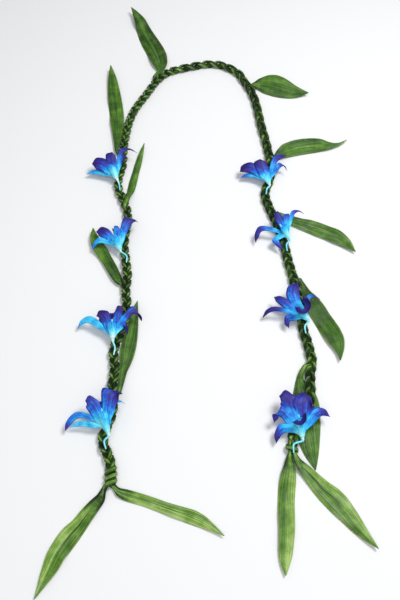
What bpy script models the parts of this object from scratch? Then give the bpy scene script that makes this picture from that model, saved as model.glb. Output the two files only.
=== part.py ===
"""Ti leaf orchid lei, laid down open on a table as a long U.

Ti leaves are plaited in three strands. The tip of each leaf leaves the plait at an
outer lobe and lies on the table as a blade, two blades trail from each end, and eight
blue orchids sit on the plait with their stalks tucked along it.
Metres, +Z up, origin at the middle of the footprint on the table.
"""

import math
import random

import bmesh
import bpy
from mathutils import Vector

MM = 0.001
LEI = "ti_leaf_orchid_lei"

# Plait: one strand swings from side to side once a period, and rises and falls twice
PERIOD = 36.0 * MM
RISE = 2.6 * MM
# Where the plait is looser, so that its periods are longer: from, to, and the length that it gains
SLACK_FROM = 620.0 * MM
SLACK_TO = 862.0 * MM
SLACK_GAIN = 2 * PERIOD
# Where a strand is measured: phase in degrees, lean of its face, width, thickness and swing
SECTIONS = (
    (0, 156, 5.2 * MM, 1.2 * MM, 3.7 * MM),
    (35, 81, 4.7 * MM, 2.3 * MM, 4.2 * MM),
    (90, 0, 6.0 * MM, 3.9 * MM, 3.0 * MM),
    (145, -81, 4.7 * MM, 2.3 * MM, 4.2 * MM),
    (180, -156, 5.2 * MM, 1.2 * MM, 3.7 * MM),
    (215, -81, 4.7 * MM, 2.3 * MM, 4.2 * MM),
    (270, 0, 6.0 * MM, 3.9 * MM, 3.0 * MM),
    (325, 81, 4.7 * MM, 2.3 * MM, 4.2 * MM),
)
# Half the height of the plait, and its usual height off the table
HALF_HEIGHT = 3.65 * MM
ROPE_CLEAR = 0.5 * MM
# It is lifted over the leaf under its right end, and at the knot: by how much, and from and to where
LEAF_UNDER = 1.5 * MM
LEAF_UNDER_SPAN = (1164 * MM, 1184 * MM)
KNOT_LIFT = 1.0 * MM
KNOT_LIFT_SPAN = (6 * MM, 40 * MM)
# Places along the plait where it sags onto the table, and how far each sag reaches
REST_SPOTS = (75.0 * MM, 300.0 * MM, 669.0 * MM, 1000.0 * MM, 1130.0 * MM)
REST_REACH = 22.0 * MM

# Middle line of the plait on the table, left end first
ROPE = (
    (-109, -309), (-109, -299), (-110, -288), (-113, -277), (-118, -267), (-120, -257), (-117, -245),
    (-113, -232), (-112, -216), (-114, -201), (-113, -187), (-113, -175), (-115, -163), (-114, -151),
    (-110, -139), (-106, -124), (-104, -108), (-104, -95), (-106, -80), (-105, -61), (-107, -46),
    (-109, -33), (-111, -20), (-111, -6), (-109, 17), (-110, 33), (-116, 51), (-121, 63), (-124, 76),
    (-123, 91), (-120, 106), (-120, 124), (-120, 140), (-118, 161), (-115, 184), (-109, 205), (-101, 222),
    (-91, 241), (-82, 259), (-68, 276), (-51, 284), (-31, 290), (-11, 295), (6, 294), (21, 287), (34, 276),
    (43, 258), (51, 240), (56, 221), (59, 201), (62, 177), (66, 154), (69, 133), (71, 114), (71, 96),
    (68, 81), (63, 68), (62, 55), (65, 43), (69, 30), (74, 15), (78, 0), (81, -15), (83, -29), (85, -43),
    (88, -57), (90, -72), (93, -88), (95, -104), (95, -120), (96, -134), (99, -147), (101, -160),
    (102, -172), (99, -185), (98, -199), (97, -214), (91, -228), (84, -242), (77, -253), (74, -264),
    (74, -276),
)

# Knot at the left end, tie at the right end: bands that go round the end of the plait
PLAIT_START = 22
PLAIT_END = 1269.0 * MM
KNOT_RADII = (4.4 * MM, 3.2 * MM)
KNOT_BAND = (5.6 * MM, 3.0 * MM)
KNOT_SPAN = (19.0 * MM, 3.4 * MM)
TIE_RADII = (5.5 * MM, 3.5 * MM)
TIE_BAND = (4.8 * MM, 1.5 * MM)

BLADE_THICK = 0.9 * MM
TIP_WIDTH = 0.9 * MM
# Height of a blade's edge over the table, how far its edges wave, and the gap between pieces
TABLE_GAP = 0.4 * MM
EDGE_WAVE = 0.7 * MM
GAP = 0.3 * MM
# How a leaf leaves the plait, beside it or over it: distance on, across, up, and width
NECK_BESIDE = ((5.0, 6.6, 0.4, 4.6), (10.0, 8.3, 0.2, 5.0))
NECK_OVER = ((4.5, 0.8, 4.4, 5.4), (11.0, -3.4, 4.9, 6.2), (17.0, -7.2, 5.2, 7.0))
# Least distance onward along the plait from there to the blade
LEAST_ONWARD = 3.0 * MM
# Degrees past its lobe at which a new leaf starts in place of the one that left
START_PAST = 52
# The trailing leaves inside the tie: distance past the plait's end, across, and width
BUNDLE = ((6.0, 2.0, 3.4), (14.0, 2.0, 3.4), (20.0, 3.4, 5.6))
BUNDLE_THICK = 2.4 * MM

# Each leaf: strand, where it starts and where its tip leaves the plait, side of the plait that
# the tip leaves on (1 outer, -1 inner, 0 over the top to the inner side), fold slope, roll in
# degrees, tip height, the rows that lie flat on the table, and its blade as (x, y, width) in
# millimetres from the plait to the tip
LEAVES = {
    "leaf_left_1": (0, PLAIT_START, 114, -1, 0.10, 0, 3.0, (9, 9), (
        (-102.8, -181, 9), (-100.9, -170, 13.5), (-99.6, -156, 16.5), (-97.4, -141, 15.4),
        (-94.8, -121, 10.5), (-94, -107, 7.5), (-91.8, -94.6, 0))),
    "leaf_left_2": (2, PLAIT_START, 237, 1, 0.22, 0, 6.0, (9, 9), (
        (-116, -65.6, 9.5), (-121.6, -54.8, 12.4), (-127.2, -44, 13.1), (-134, -32.1, 14),
        (-140.5, -21.8, 15), (-147, -9, 11.5), (-150, 6, 0))),
    "leaf_left_3": (1, PLAIT_START, 346, 0, -0.45, 0, 7.0, (9, 9), (
        (-107.6, 67, 9.2), (-106, 78, 10), (-102.4, 100, 9), (-97.6, 124, 7), (-93, 142, 0))),
    "leaf_left_4": (0, 114, 439, 1, 0.12, 0, 9.0, (1, 2), (
        (-130, 165, 14), (-132, 189, 19), (-136, 218, 19), (-141, 251, 15), (-144, 272, 9),
        (-146, 286, 0))),
    "leaf_left_5": (0, 439, 588, 1, 0.12, 0, 10.0, (2, 4), (
        (-76.5, 282, 9), (-77.5, 298, 22.5), (-85, 325.5, 27.5), (-94, 346, 26.5), (-103, 369, 22),
        (-114, 394, 12), (-123, 409, 0))),
    "leaf_right_1": (2, 237, 747, 1, 0.10, 30, 5.0, (9, 9), (
        (60, 254, 14), (68, 253.5, 24), (82, 248, 30), (100, 241.5, 25), (115, 238, 14.5), (130, 236, 0))),
    "leaf_right_2": (0, 588, 877, 1, 0.10, 14, 4.0, (9, 9), (
        (81.5, 124, 10), (91, 131.5, 19), (104, 137.5, 23), (125.6, 141.5, 22), (141.2, 142.3, 17),
        (156.8, 141.5, 6.5), (174, 150, 0))),
    "leaf_right_3": (1, 346, 968, 1, 0.14, 8, 3.0, (9, 9), (
        (85.5, 25, 8), (94, 20, 12), (105, 15, 15), (120, 9, 19), (136, 1, 19), (152, -10, 16),
        (166, -27, 0))),
    "leaf_right_4": (2, 747, 1065, 1, 0.10, 0, 4.0, (2, 3), (
        (103, -84, 11), (110, -97, 18), (117.5, -113, 22), (125.5, -130, 22.5), (131.6, -146, 18.5),
        (133.8, -158, 9.5), (133.3, -170, 0))),
    "leaf_right_5": (0, 877, 1178, -1, 0.0, 0, 1.0, (0, 6), (
        (88, -190, 8), (91, -206, 24), (92, -223, 30), (92.5, -243, 27), (93, -263, 21), (95, -278, 12),
        (97, -290, 0))),
}
# The last leaves end at the right end of the plait: two of them in a blade that trails there, on
# the side and with the fold, tip height and flat rows given, and the third as the tie round them
TAILS = {
    "leaf_tail_right_inner": (2, 1065, -1, 0.06, 3.0, (2, 3), (
        (70.3, -287.5, 10.5), (68.8, -296, 15), (66.6, -309, 17), (64.9, -326, 17), (64, -346, 16),
        (62.7, -361, 14.5), (60.7, -377, 11.5), (60.3, -391, 0))),
    "leaf_tail_right_outer": (1, 968, 1, -0.30, 4.0, (9, 9), (
        (82.6, -287, 9.5), (90.5, -295.5, 14.5), (102.6, -309.8, 19.5), (115.3, -322.5, 22.5),
        (125, -334.5, 19), (136, -350, 12.5), (150, -367, 0))),
}
TIE = ("leaf_tie_right", 0, 1178)
# The two leaves that are wound round each other as the knot at the left end and trail from it:
# angle round the knot where each one leaves it, fold, tip height, flat rows and blade
KNOTTED = {
    "leaf_tail_left_outer": (70, 0.10, 2.0, (2, 4), (
        (-118.5, -319, 9), (-126.3, -329, 12.5), (-137, -343.4, 16.5), (-147.5, -356.5, 20.5),
        (-155.7, -370.3, 18.5), (-161.3, -384, 15.3), (-167, -397.3, 8.5), (-172.8, -411, 0))),
    "leaf_tail_left_inner": (-110, -0.28, 3.0, (9, 9), (
        (-101, -312.5, 7), (-91.5, -315.8, 10.5), (-72.2, -321.5, 11.5), (-49.4, -329.5, 12.3),
        (-27, -337, 14), (-14.5, -343, 10.5), (3.4, -355, 0))),
}

# Orchids: base of the spur, throat, then each petal or sepal as kind, tip, middle and width
BLOOMS = {
    "orchid_left_1": ((-123.6, 77.2, 10), (-132.7, 95.3, 17), (
        ("petal", (-157, 98.6, 17), (-142.6, 95.2, 19), 17),
        ("sepal", (-164.6, 89.9, 8), (-145.6, 89.8, 12), 7),
        ("petal", (-131.6, 111.5, 25), (-132.5, 100.8, 22), 13),
        ("sepal", (-101.1, 119.6, 14), (-119.5, 115.8, 22), 6),
        ("sepal", (-112.4, 112.1, 13), (-121.8, 106, 18), 7))),
    "orchid_left_2": ((-113.7, -30.6, 10), (-121.1, -12.8, 17), (
        ("petal", (-144.1, -6.9, 17), (-131.7, -11.3, 19), 13),
        ("sepal", (-148.2, -26.1, 7), (-137.7, -17.2, 15), 7),
        ("sepal", (-117.4, -3.2, 24), (-118.6, -8.4, 21), 8),
        ("petal", (-94.8, 8.5, 15), (-107.3, 4.1, 22), 12),
        ("sepal", (-105.3, -2.6, 13), (-110.9, -4, 17), 7))),
    "orchid_left_3": ((-115.8, -149.7, 10), (-117.2, -129.3, 18), (
        ("petal", (-135.3, -122.3, 19), (-126.2, -124.1, 20), 13),
        ("sepal", (-156.3, -131.7, 7), (-142.3, -125.2, 15), 8),
        ("sepal", (-106, -112.4, 24), (-110.7, -120.2, 21.5), 8),
        ("petal", (-84.7, -124.8, 12), (-96.6, -117.1, 21), 9),
        ("sepal", (-100.2, -140.7, 10), (-105.1, -129.3, 18), 9))),
    "orchid_left_4": ((-113.2, -257.2, 10), (-120.9, -233.7, 19), (
        ("petal", (-159.1, -251.3, 8), (-142.6, -236.6, 16), 7),
        ("sepal", (-154.3, -247.5, 8), (-136.2, -245.6, 13), 6),
        ("sepal", (-138.4, -224.8, 24), (-131, -228.7, 23), 13),
        ("petal", (-101, -215.5, 20), (-113, -219.5, 24.5), 19),
        ("sepal", (-98.3, -223.7, 13), (-110.1, -225.7, 18), 5))),
    "orchid_right_1": ((68, 69.2, 10), (60.8, 88.8, 17), (
        ("petal", (30.7, 88.9, 13), (45.6, 91.2, 18), 14),
        ("sepal", (31.4, 84.1, 8), (50.8, 84, 13), 7),
        ("sepal", (55.7, 100.7, 24), (56.8, 92.6, 22), 15),
        ("petal", (90, 111.9, 17), (75, 101.7, 21), 8),
        ("sepal", (91, 94, 9), (81.7, 98.7, 15), 6))),
    "orchid_right_2": ((87.8, -13.3, 10), (77, 1.1, 18), (
        ("petal", (47.2, -15.5, 7), (55.6, -1.5, 17.5), 7),
        ("sepal", (79, -27, 9), (70.2, -14.4, 14.5), 8),
        ("sepal", (73.7, 18.2, 25), (74.6, 9.3, 23), 9),
        ("sepal", (106.9, 22.8, 13), (92.4, 19, 20), 5),
        ("petal", (87.5, 17.5, 20), (83.2, 9.3, 21), 8))),
    "orchid_right_3": ((102, -123.5, 10), (90.6, -113.6, 17), (
        ("petal", (90.1, -80.6, 22), (84.8, -99.7, 22), 15),
        ("sepal", (63.9, -95, 14), (75.2, -105.7, 19), 10),
        ("petal", (51, -117.7, 7), (66.1, -112.3, 17), 5.5),
        ("sepal", (79.3, -132.2, 8), (79.2, -121.6, 13.5), 8),
        ("sepal", (116.4, -96.5, 11), (102.9, -97.3, 18), 5))),
    "orchid_right_4": ((85.1, -262.5, 10), (81.6, -239.9, 18), (
        ("petal", (61.9, -218.4, 22), (71.7, -226.2, 22), 16),
        ("petal", (95.5, -220.5, 21.5), (86.8, -228, 22.5), 23),
        ("sepal", (114.4, -238, 13), (100.2, -235.9, 18.5), 10.5),
        ("sepal", (56.1, -244.5, 13), (64.3, -234.8, 19), 11),
        ("sepal", (57.6, -264.6, 8), (66, -250.2, 14), 10))),
}
# The orchid whose stalk lies over the tie
TIED_BLOOM = "orchid_right_4"
# Lips: root, tip, the way the trough opens, the width, and degrees that it curls to each side
LIPS = {
    "orchid_left_1": ((-133.8, 95.8, 13.5), (-136.5, 106.5, 16.1), (0.35, -0.41, 0.84), 6.9, 84),
    "orchid_left_2": ((-119.5, -10.8, 14.3), (-122.1, 0.0, 16.3), (0.33, -0.11, 0.94), 6.7, 84),
    "orchid_left_3": ((-118.5, -127.0, 16.4), (-118.8, -117.3, 18.4), (-0.16, -0.89, 0.42), 6.4, 84),
    "orchid_left_4": ((-121.8, -231.8, 16.9), (-123.7, -223.1, 19.3), (0.57, -0.37, 0.73), 6.9, 84),
    "orchid_right_1": ((61.6, 90.3, 13.7), (59.4, 99.3, 15.3), (-0.09, -0.51, 0.85), 7.0, 84),
    "orchid_right_2": ((77.7, 1.2, 15.8), (73.0, 9.1, 18.7), (0.02, -0.5, 0.87), 6.7, 84),
    "orchid_right_3": ((94.4, -113.1, 24.1), (96.8, -116.7, 28.2), (-0.8, 0.55, 0.2), 19.0, 130),
    "orchid_right_4": ((81.3, -243.8, 23.6), (81.9, -246.7, 28.2), (-0.56, 0.83, 0.02), 15.9, 84),
}
TEPAL_THICK = 0.8 * MM
# Widths of a petal or sepal: place along it, and share of its full width
PETAL_SHAPE = ((0.0, 0.45), (0.32, 0.80), (0.62, 1.0), (0.85, 0.86), (1.0, 0.26))
SEPAL_SHAPE = ((0.0, 0.70), (0.30, 1.0), (0.58, 1.0), (0.82, 0.70), (1.0, 0.12))
# How far the edges bend back, as a share of the width
PETAL_CUP = -0.22
SEPAL_CUP = -0.26
# Where a petal starts: share of the way up the funnel, and distance from its middle
ROOT_AT = 0.42
ROOT_OUT = 1.8 * MM
# The way that the broad faces of petals and sepals are turned: up and to the open end of the U
SEEN_FROM = Vector((0, -0.45, 0.9))
SPUR_RADIUS = 1.5 * MM
THROAT_RADIUS = 6.6 * MM
FUNNEL_SIDES = 6
# Outside of the funnel and then inside of its mouth: place along it, and radius
FUNNEL_SHAPE = (
    (-0.03, 0.6 * SPUR_RADIUS),
    (0.08, SPUR_RADIUS),
    (1.0, THROAT_RADIUS),
    (0.98, THROAT_RADIUS - 1.0 * MM),
    (0.72, 0.45 * THROAT_RADIUS),
)
STALK_RADIUS = 1.05 * MM
STALK_LENGTH = 15.0 * MM
COLUMN_RADIUS = 1.3 * MM
COLUMN_LENGTH = 3.0 * MM
LIP_THICK = 0.7 * MM
# The trough of the lip: place along it, share of its full width, and how far it drops
LIP_SHAPE = ((0.0, 0.34, 0.0), (0.35, 0.62, -0.02), (0.7, 1.0, -0.02), (1.0, 0.86, -0.16))
# Degrees from one section across the trough to the next
LIP_SECTION = 42
# Moves the middle of the footprint to the origin
TO_ORIGIN = Vector((-0.5, 0.95, 0)) * MM
UP = Vector((0, 0, 1))
# Six corners of a blade's section, in shares of its width and thickness
BLADE_SECTION = ((-0.5, 0.5), (0, 0.5), (0.5, 0.5), (0.5, -0.5), (0, -0.5), (-0.5, -0.5))


def clear_scene():
    for obj in list(bpy.data.objects):
        bpy.data.objects.remove(obj, do_unlink=True)


def new_collection(name, helper=False):
    group = bpy.data.collections.new(name)
    bpy.context.scene.collection.children.link(group)
    group.hide_render = helper
    return group


def skin(name, colour, roughness, sheen=0.0):
    material = bpy.data.materials.new(name)
    material.use_nodes = True
    shader = material.node_tree.nodes["Principled BSDF"]
    shader.inputs["Base Color"].default_value = (*colour, 1)
    shader.inputs["Roughness"].default_value = roughness
    shader.inputs["Coat Weight"].default_value = sheen
    return material


def leaf_skin(name):
    return skin(name + "_green", (0.055, 0.17, 0.03), 0.38, 0.25)


def petal_skin(name):
    return skin(name + "_blue", (0.03, 0.16, 0.75), 0.5)


def lip_skin(name):
    return skin(name + "_indigo", (0.03, 0.015, 0.16), 0.45)


def between(a, b, share):
    return a + (b - a) * share


def hermite(points, at):
    """Smooth curve through points, at a place counted in points."""
    i = min(int(at), len(points) - 2)
    t = at - i
    p1, p2 = points[i], points[i + 1]
    p0 = points[i - 1] if i else p1 * 2 - p2
    p3 = points[i + 2] if i + 2 < len(points) else p2 * 2 - p1
    return 0.5 * (p1 * 2 + (p2 - p0) * t + (p0 * 2 - p1 * 5 + p2 * 4 - p3) * t * t
                  + (p1 * 3 - p0 - p2 * 3 + p3) * t ** 3)


class Rope:
    """The middle line of the plait, by distance along it."""

    def __init__(self):
        knots = [Vector((x * MM, y * MM, 0)) for x, y in ROPE]
        self.line = [hermite(knots, i / 8) for i in range(8 * (len(knots) - 1) + 1)]
        self.far = [0.0]
        for a, b in zip(self.line, self.line[1:]):
            self.far.append(self.far[-1] + (b - a).length)
        self.length = self.far[-1]

    def spot(self, s):
        if s <= 0:
            return self.line[0] + (self.line[1] - self.line[0]).normalized() * s
        if s >= self.length:
            return self.line[-1] + (self.line[-1] - self.line[-2]).normalized() * (s - self.length)
        low = max(i for i, d in enumerate(self.far) if d <= s)
        low = min(low, len(self.line) - 2)
        share = (s - self.far[low]) / (self.far[low + 1] - self.far[low])
        return between(self.line[low], self.line[low + 1], share)

    def ahead(self, s):
        return (self.spot(s + 4 * MM) - self.spot(s - 4 * MM)).normalized()

    def height(self, s):
        sag = max(max(0.0, 1 - abs(s - spot) / REST_REACH) for spot in REST_SPOTS)
        lift = ROPE_CLEAR * (1 - smooth(min(1.0, sag * 1.6))) - 0.12 * MM * smooth(sag)
        lift += LEAF_UNDER * ramp(s, *LEAF_UNDER_SPAN)
        lift += KNOT_LIFT * (1 - ramp(s, *KNOT_LIFT_SPAN))
        return HALF_HEIGHT + lift

    def place(self, s, across, up):
        """A point beside the middle line: across is to the outer side of the U."""
        ahead = self.ahead(s)
        side = Vector((-ahead.y, ahead.x, 0))
        point = self.spot(s) + side * across
        return Vector((point.x, point.y, max(0.0, self.height(s) + up)))


def smooth(t):
    t = min(1.0, max(0.0, t))
    return t * t * (3 - 2 * t)


def ramp(value, low, high):
    return smooth((value - low) / (high - low))


def lens(width, thick):
    """Six corners of a leaf's section: its upper side and then its lower side, back."""
    return ((-0.5 * width, 0.32 * thick), (0, 0.5 * thick), (0.5 * width, 0.32 * thick),
            (0.5 * width, -0.32 * thick), (0, -0.5 * thick), (-0.5 * width, -0.32 * thick))


def measured_ring(rope, s, theta, section):
    _, lean, width, thick, swing = section
    angle = math.radians(theta)
    across, up = swing * math.sin(angle), RISE * math.sin(2 * angle)
    nx, ny = math.cos(math.radians(lean)), math.sin(math.radians(lean))
    return [rope.place(s, across + u * ny + v * nx, up - u * nx + v * ny) for u, v in lens(width, thick)]


def strand_ring(rope, strand, theta):
    """The ring of a strand at a total phase, straight between the two measured rings round it."""
    turns, rest = divmod(theta, 360)
    marks = [m[0] for m in SECTIONS] + [360]
    low = max(i for i, mark in enumerate(marks) if mark <= rest + 1e-9)
    if low == len(SECTIONS):
        low, turns, rest = 0, turns + 1, 0
    rings = []
    for i in (low, low + 1):
        mark = marks[i] + 360 * turns
        rings.append(measured_ring(rope, distance_of(strand, mark), marks[i], SECTIONS[i % len(SECTIONS)]))
    share = (rest - marks[low]) / (marks[low + 1] - marks[low])
    return [between(a, b, share) for a, b in zip(*rings)]


def loosened(even):
    """Distance along the plait of a place that is given as if all its periods were alike."""
    share = (even - SLACK_FROM) / (SLACK_TO - SLACK_FROM - SLACK_GAIN)
    return even + SLACK_GAIN * min(1.0, max(0.0, share))


def evened(s):
    """The other way round: what the distance would be if all periods were alike."""
    share = (s - SLACK_FROM) / (SLACK_TO - SLACK_FROM)
    return s - SLACK_GAIN * min(1.0, max(0.0, share))


def distance_of(strand, theta):
    return loosened(PERIOD * (theta - 120 * strand) / 360)


def phase_at(strand, s):
    return 360 * evened(s) / PERIOD + 120 * strand


def lobe_near(strand, s, side):
    """Phase of the strand's outer (1) or inner (-1) lobe nearest to a distance."""
    want = 90 if side > 0 else 270
    return want + 360 * round((phase_at(strand, s) - want) / 360)


def plaited(rope, strand, start, end):
    """Rings of one strand from one phase to another."""
    turns = range(int(start // 360), int(end // 360) + 1)
    marks = sorted({m[0] + 360 * turn for m in SECTIONS for turn in turns})
    inside = [m for m in marks if start + 4 < m < end - 4]
    return [strand_ring(rope, strand, m) for m in [start, *inside, end]]


def blade_ring(centre, ahead, width, thick, fold, roll, lift=(0.0, 0.0)):
    """A flat leaf's section, folded along its midrib, with each edge lifted by a wave."""
    side = Vector((-ahead.y, ahead.x, 0)).normalized()
    normal = ahead.cross(side).normalized()
    turn = math.radians(roll)
    across = side * math.cos(turn) + normal * math.sin(turn)
    face = normal * math.cos(turn) - side * math.sin(turn)
    ring = []
    for u, v in BLADE_SECTION:
        rise = fold * abs(u) * width + (lift[0] if u < 0 else lift[1] if u > 0 else 0)
        ring.append(centre + across * (u * width) + face * (v * thick) + UP * rise)
    low = min(p.z for p in ring)
    return [p + UP * (TABLE_GAP - low) for p in ring] if low < TABLE_GAP else ring


def flat_ring(centre, ahead, width, thick):
    """The same section where the blade lies flat on the table."""
    side = Vector((-ahead.y, ahead.x, 0)).normalized() * width
    foot = Vector((centre.x, centre.y, 0))
    return [foot + side * u + UP * (thick * v) for u, v in
            ((-0.5, 1), (0, 1), (0.5, 1), (0.5, 0), (0, 0), (-0.5, 0))]


def blade_rings(spine, widths, fold, roll, flat, draw):
    """Rings along a blade, three to two measured stretches. flat is counted in points of the spine."""
    count = round(1.5 * (len(spine) - 1))
    rings = []
    for i in range(count + 1):
        at = i / count * (len(spine) - 1)
        centre = hermite(spine, at)
        before = hermite(spine, max(at - 0.05, 0))
        after = hermite(spine, min(at + 0.05, len(spine) - 1))
        ahead = (after - before).normalized()
        width = max(TIP_WIDTH, hermite(widths, at))
        thick = BLADE_THICK if i < count else 0.7 * BLADE_THICK
        swell = EDGE_WAVE * min(1.0, width / (14 * MM)) if i else 0.0
        lift = (draw.uniform(-swell, swell), draw.uniform(-swell, swell))
        if flat[0] <= at <= flat[1]:
            rings.append(flat_ring(centre, ahead, width, thick))
        else:
            turn = roll * smooth(2 * i / count)
            rings.append(blade_ring(centre, ahead, width, thick, fold * min(1.0, i / 2), turn, lift))
    return rings


def ribbon(name, rings, group, material):
    """One closed solid through six-cornered rings, split alike on its upper and lower side."""
    mesh = bmesh.new()
    rows = [[mesh.verts.new(p) for p in ring] for ring in rings]
    for low, high in zip(rows, rows[1:]):
        for j in range(6):
            a, b, d, e = low[j], low[(j + 1) % 6], high[j], high[(j + 1) % 6]
            for face in (((a, b, e), (a, e, d)) if j < 3 else ((a, b, d), (b, e, d))):
                mesh.faces.new(face)
    for row in (rows[0], rows[-1]):
        mesh.faces.new((row[0], row[1], row[4], row[5]))
        mesh.faces.new((row[1], row[2], row[3], row[4]))
    bmesh.ops.recalc_face_normals(mesh, faces=mesh.faces)
    return finished(name, mesh, group, material)


def finished(name, mesh, group, material):
    if mesh.calc_volume(signed=True) < 0:
        bmesh.ops.reverse_faces(mesh, faces=mesh.faces)
    data = bpy.data.meshes.new(name)
    mesh.to_mesh(data)
    mesh.free()
    obj = bpy.data.objects.new(name, data)
    group.objects.link(obj)
    data.materials.append(material)
    return obj


def neck(rope, strand, leave, side):
    """Points and widths that carry a leaf from where it leaves the strand clear of the plait."""
    s = distance_of(strand, leave)
    if side == 0:
        return [(rope.place(s + step * MM, out * MM, up * MM), width * MM)
                for step, out, up, width in NECK_OVER]
    return [(rope.place(s + step * MM, side * out * MM, up * MM), width * MM)
            for step, out, up, width in NECK_BESIDE]


def blade_line(blade, tip_height, start_height=3.2):
    spine, widths = [], []
    for i, (x, y, width) in enumerate(blade):
        share = i / (len(blade) - 1)
        z = start_height - (start_height - 1.2) * smooth(share * 2) + tip_height * share ** 2.2
        spine.append(Vector((x, y, z)) * MM)
        widths.append(width * MM)
    return spine, widths


def start_phase(strand, start):
    """Phase at which a leaf starts: at the knot, or just past the lobe where the last one left."""
    if start == PLAIT_START:
        return phase_at(strand, start * MM)
    for row in LEAVES.values():
        if row[0] == strand and row[2] == start:
            return leaving_phase(row) + START_PAST
    raise ValueError("no leaf leaves there")


def leaving_phase(row):
    strand, end, side = row[0], row[2], row[3]
    if side == 0:
        return lobe_near(strand, end * MM, 1) - 60
    return lobe_near(strand, end * MM, side)


def tip_leaf(rope, name, row, group, draw):
    """A leaf whose tip leaves the plait part of the way along."""
    strand, start, _, side, fold, roll, tip_height, flat, blade = row
    leave = leaving_phase(row)
    rings = plaited(rope, strand, start_phase(strand, start), leave)
    spine, widths = blade_line(blade, tip_height)
    points = neck(rope, strand, leave, side)
    onward = rope.ahead(distance_of(strand, leave))
    if side and (spine[0] - points[-1][0]).dot(onward) < LEAST_ONWARD:
        points.pop()
    first = len(points)
    spine = [p for p, _ in points] + spine
    widths = [w for _, w in points] + widths
    flat = (flat[0] + first, flat[1] + first)
    rings += blade_rings(spine, widths, fold, roll, flat, draw)
    return ribbon(name, rings, group, leaf_skin(name))


def bundle_ring(rope, s, across, width):
    return [rope.place(s, across + u, v) for u, v in lens(width, BUNDLE_THICK)]


def tail_leaf(rope, name, row, group, draw):
    """A leaf that stays in the plait to its right end, and trails from it."""
    strand, start, side, fold, tip_height, flat, blade = row
    rings = plaited(rope, strand, start_phase(strand, start), phase_at(strand, PLAIT_END))
    for step, out, width in BUNDLE:
        rings.append(bundle_ring(rope, PLAIT_END + step * MM, side * out * MM, width * MM))
    spine, widths = blade_line(blade, tip_height, 4.2)
    rings += blade_rings(spine, widths, fold, 0, flat, draw)
    return ribbon(name, rings, group, leaf_skin(name))


def band_ring(rope, s, angle, radii, band, turned=1.0):
    """Section of a band that goes round the plait, at an angle round it from the outer side."""
    width, thick = band
    ahead = rope.ahead(s)
    side = Vector((-ahead.y, ahead.x, 0))
    a = math.radians(angle)
    face = side * math.cos(a) + UP * math.sin(a)
    back = (side * (1 - turned) - ahead * turned).normalized()
    centre = rope.place(s, radii[0] * math.cos(a), radii[1] * math.sin(a))
    return [centre + back * u + face * v for u, v in lens(width, thick)]


def tie_leaf(rope, group):
    """The leaf that ends as a tie wound round the other two at the right end."""
    name, strand, start = TIE
    rings = plaited(rope, strand, start_phase(strand, start), phase_at(strand, PLAIT_END))
    turns = 13
    for i in range(turns + 1):
        share = i / turns
        s = PLAIT_END + (3.6 + 9.6 * share) * MM
        rings.append(band_ring(rope, s, 42 - 385 * share, TIE_RADII, TIE_BAND, min(1.0, 0.55 + share * 3)))
    return ribbon(name, rings, group, leaf_skin(name))


def knot_leaf(rope, name, row, group, draw):
    """A leaf wound one and a quarter times round as half of the left knot, and trailing from it."""
    leaves_at, fold, tip_height, flat, blade = row
    rings = []
    turns = 14
    for i in range(turns + 1):
        share = i / turns
        s = between(KNOT_SPAN[0], KNOT_SPAN[1], share)
        rings.append(band_ring(rope, s, leaves_at + 450 * (1 - share), KNOT_RADII, KNOT_BAND))
    spine, widths = blade_line(blade, tip_height, 3.0)
    blade_part = blade_rings(spine, widths, fold, 0, flat, draw)
    if leaves_at < 0:
        blade_part = [ring[3:] + ring[:3] for ring in blade_part]
    return ribbon(name, rings + blade_part, group, leaf_skin(name))


def build_leaves(rope, group):
    draw = random.Random(7)
    for name, row in KNOTTED.items():
        knot_leaf(rope, name, row, group, draw)
    for name, row in LEAVES.items():
        tip_leaf(rope, name, row, group, draw)
    for name, row in TAILS.items():
        tail_leaf(rope, name, row, group, draw)
    tie_leaf(rope, group)


def tepal_rings(root, middle, tip, toward, width, kind):
    """Rings of a petal or sepal from its root in the funnel, with its broad face turned one way."""
    shape, cup = (PETAL_SHAPE, PETAL_CUP) if kind == "petal" else (SEPAL_SHAPE, SEPAL_CUP)
    bend = middle * 2 - (root + tip) / 2
    lateral = toward.cross(tip - root).normalized()
    rings = []
    for t, share in shape:
        centre = root * (1 - t) ** 2 + bend * 2 * t * (1 - t) + tip * t * t
        ahead = ((bend - root) * (1 - t) + (tip - bend) * t).normalized()
        side = (lateral - ahead * lateral.dot(ahead)).normalized()
        face = ahead.cross(side).normalized()
        wide = max(TIP_WIDTH, share * width)
        rings.append([centre + side * (u * wide) + face * (v * TEPAL_THICK + cup * abs(u) * wide)
                      for u, v in BLADE_SECTION])
    return rings


def tube(name, stops, sides, group, material):
    """A closed round bar through points, with a radius at each."""
    mesh = bmesh.new()
    rows = []
    for i, (point, radius) in enumerate(stops):
        ahead = (stops[min(i + 1, len(stops) - 1)][0] - stops[max(i - 1, 0)][0]).normalized()
        side = (side - ahead * side.dot(ahead)).normalized() if rows else ahead.orthogonal().normalized()
        other = ahead.cross(side)
        rows.append([mesh.verts.new(point + (side * math.cos(a) + other * math.sin(a)) * radius)
                     for a in (2 * math.pi * k / sides for k in range(sides))])
    for low, high in zip(rows, rows[1:]):
        for j in range(sides):
            mesh.faces.new((low[j], low[(j + 1) % sides], high[(j + 1) % sides], high[j]))
    mesh.faces.new(rows[0])
    mesh.faces.new(rows[-1])
    bmesh.ops.recalc_face_normals(mesh, faces=mesh.faces)
    return finished(name, mesh, group, material)


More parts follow.
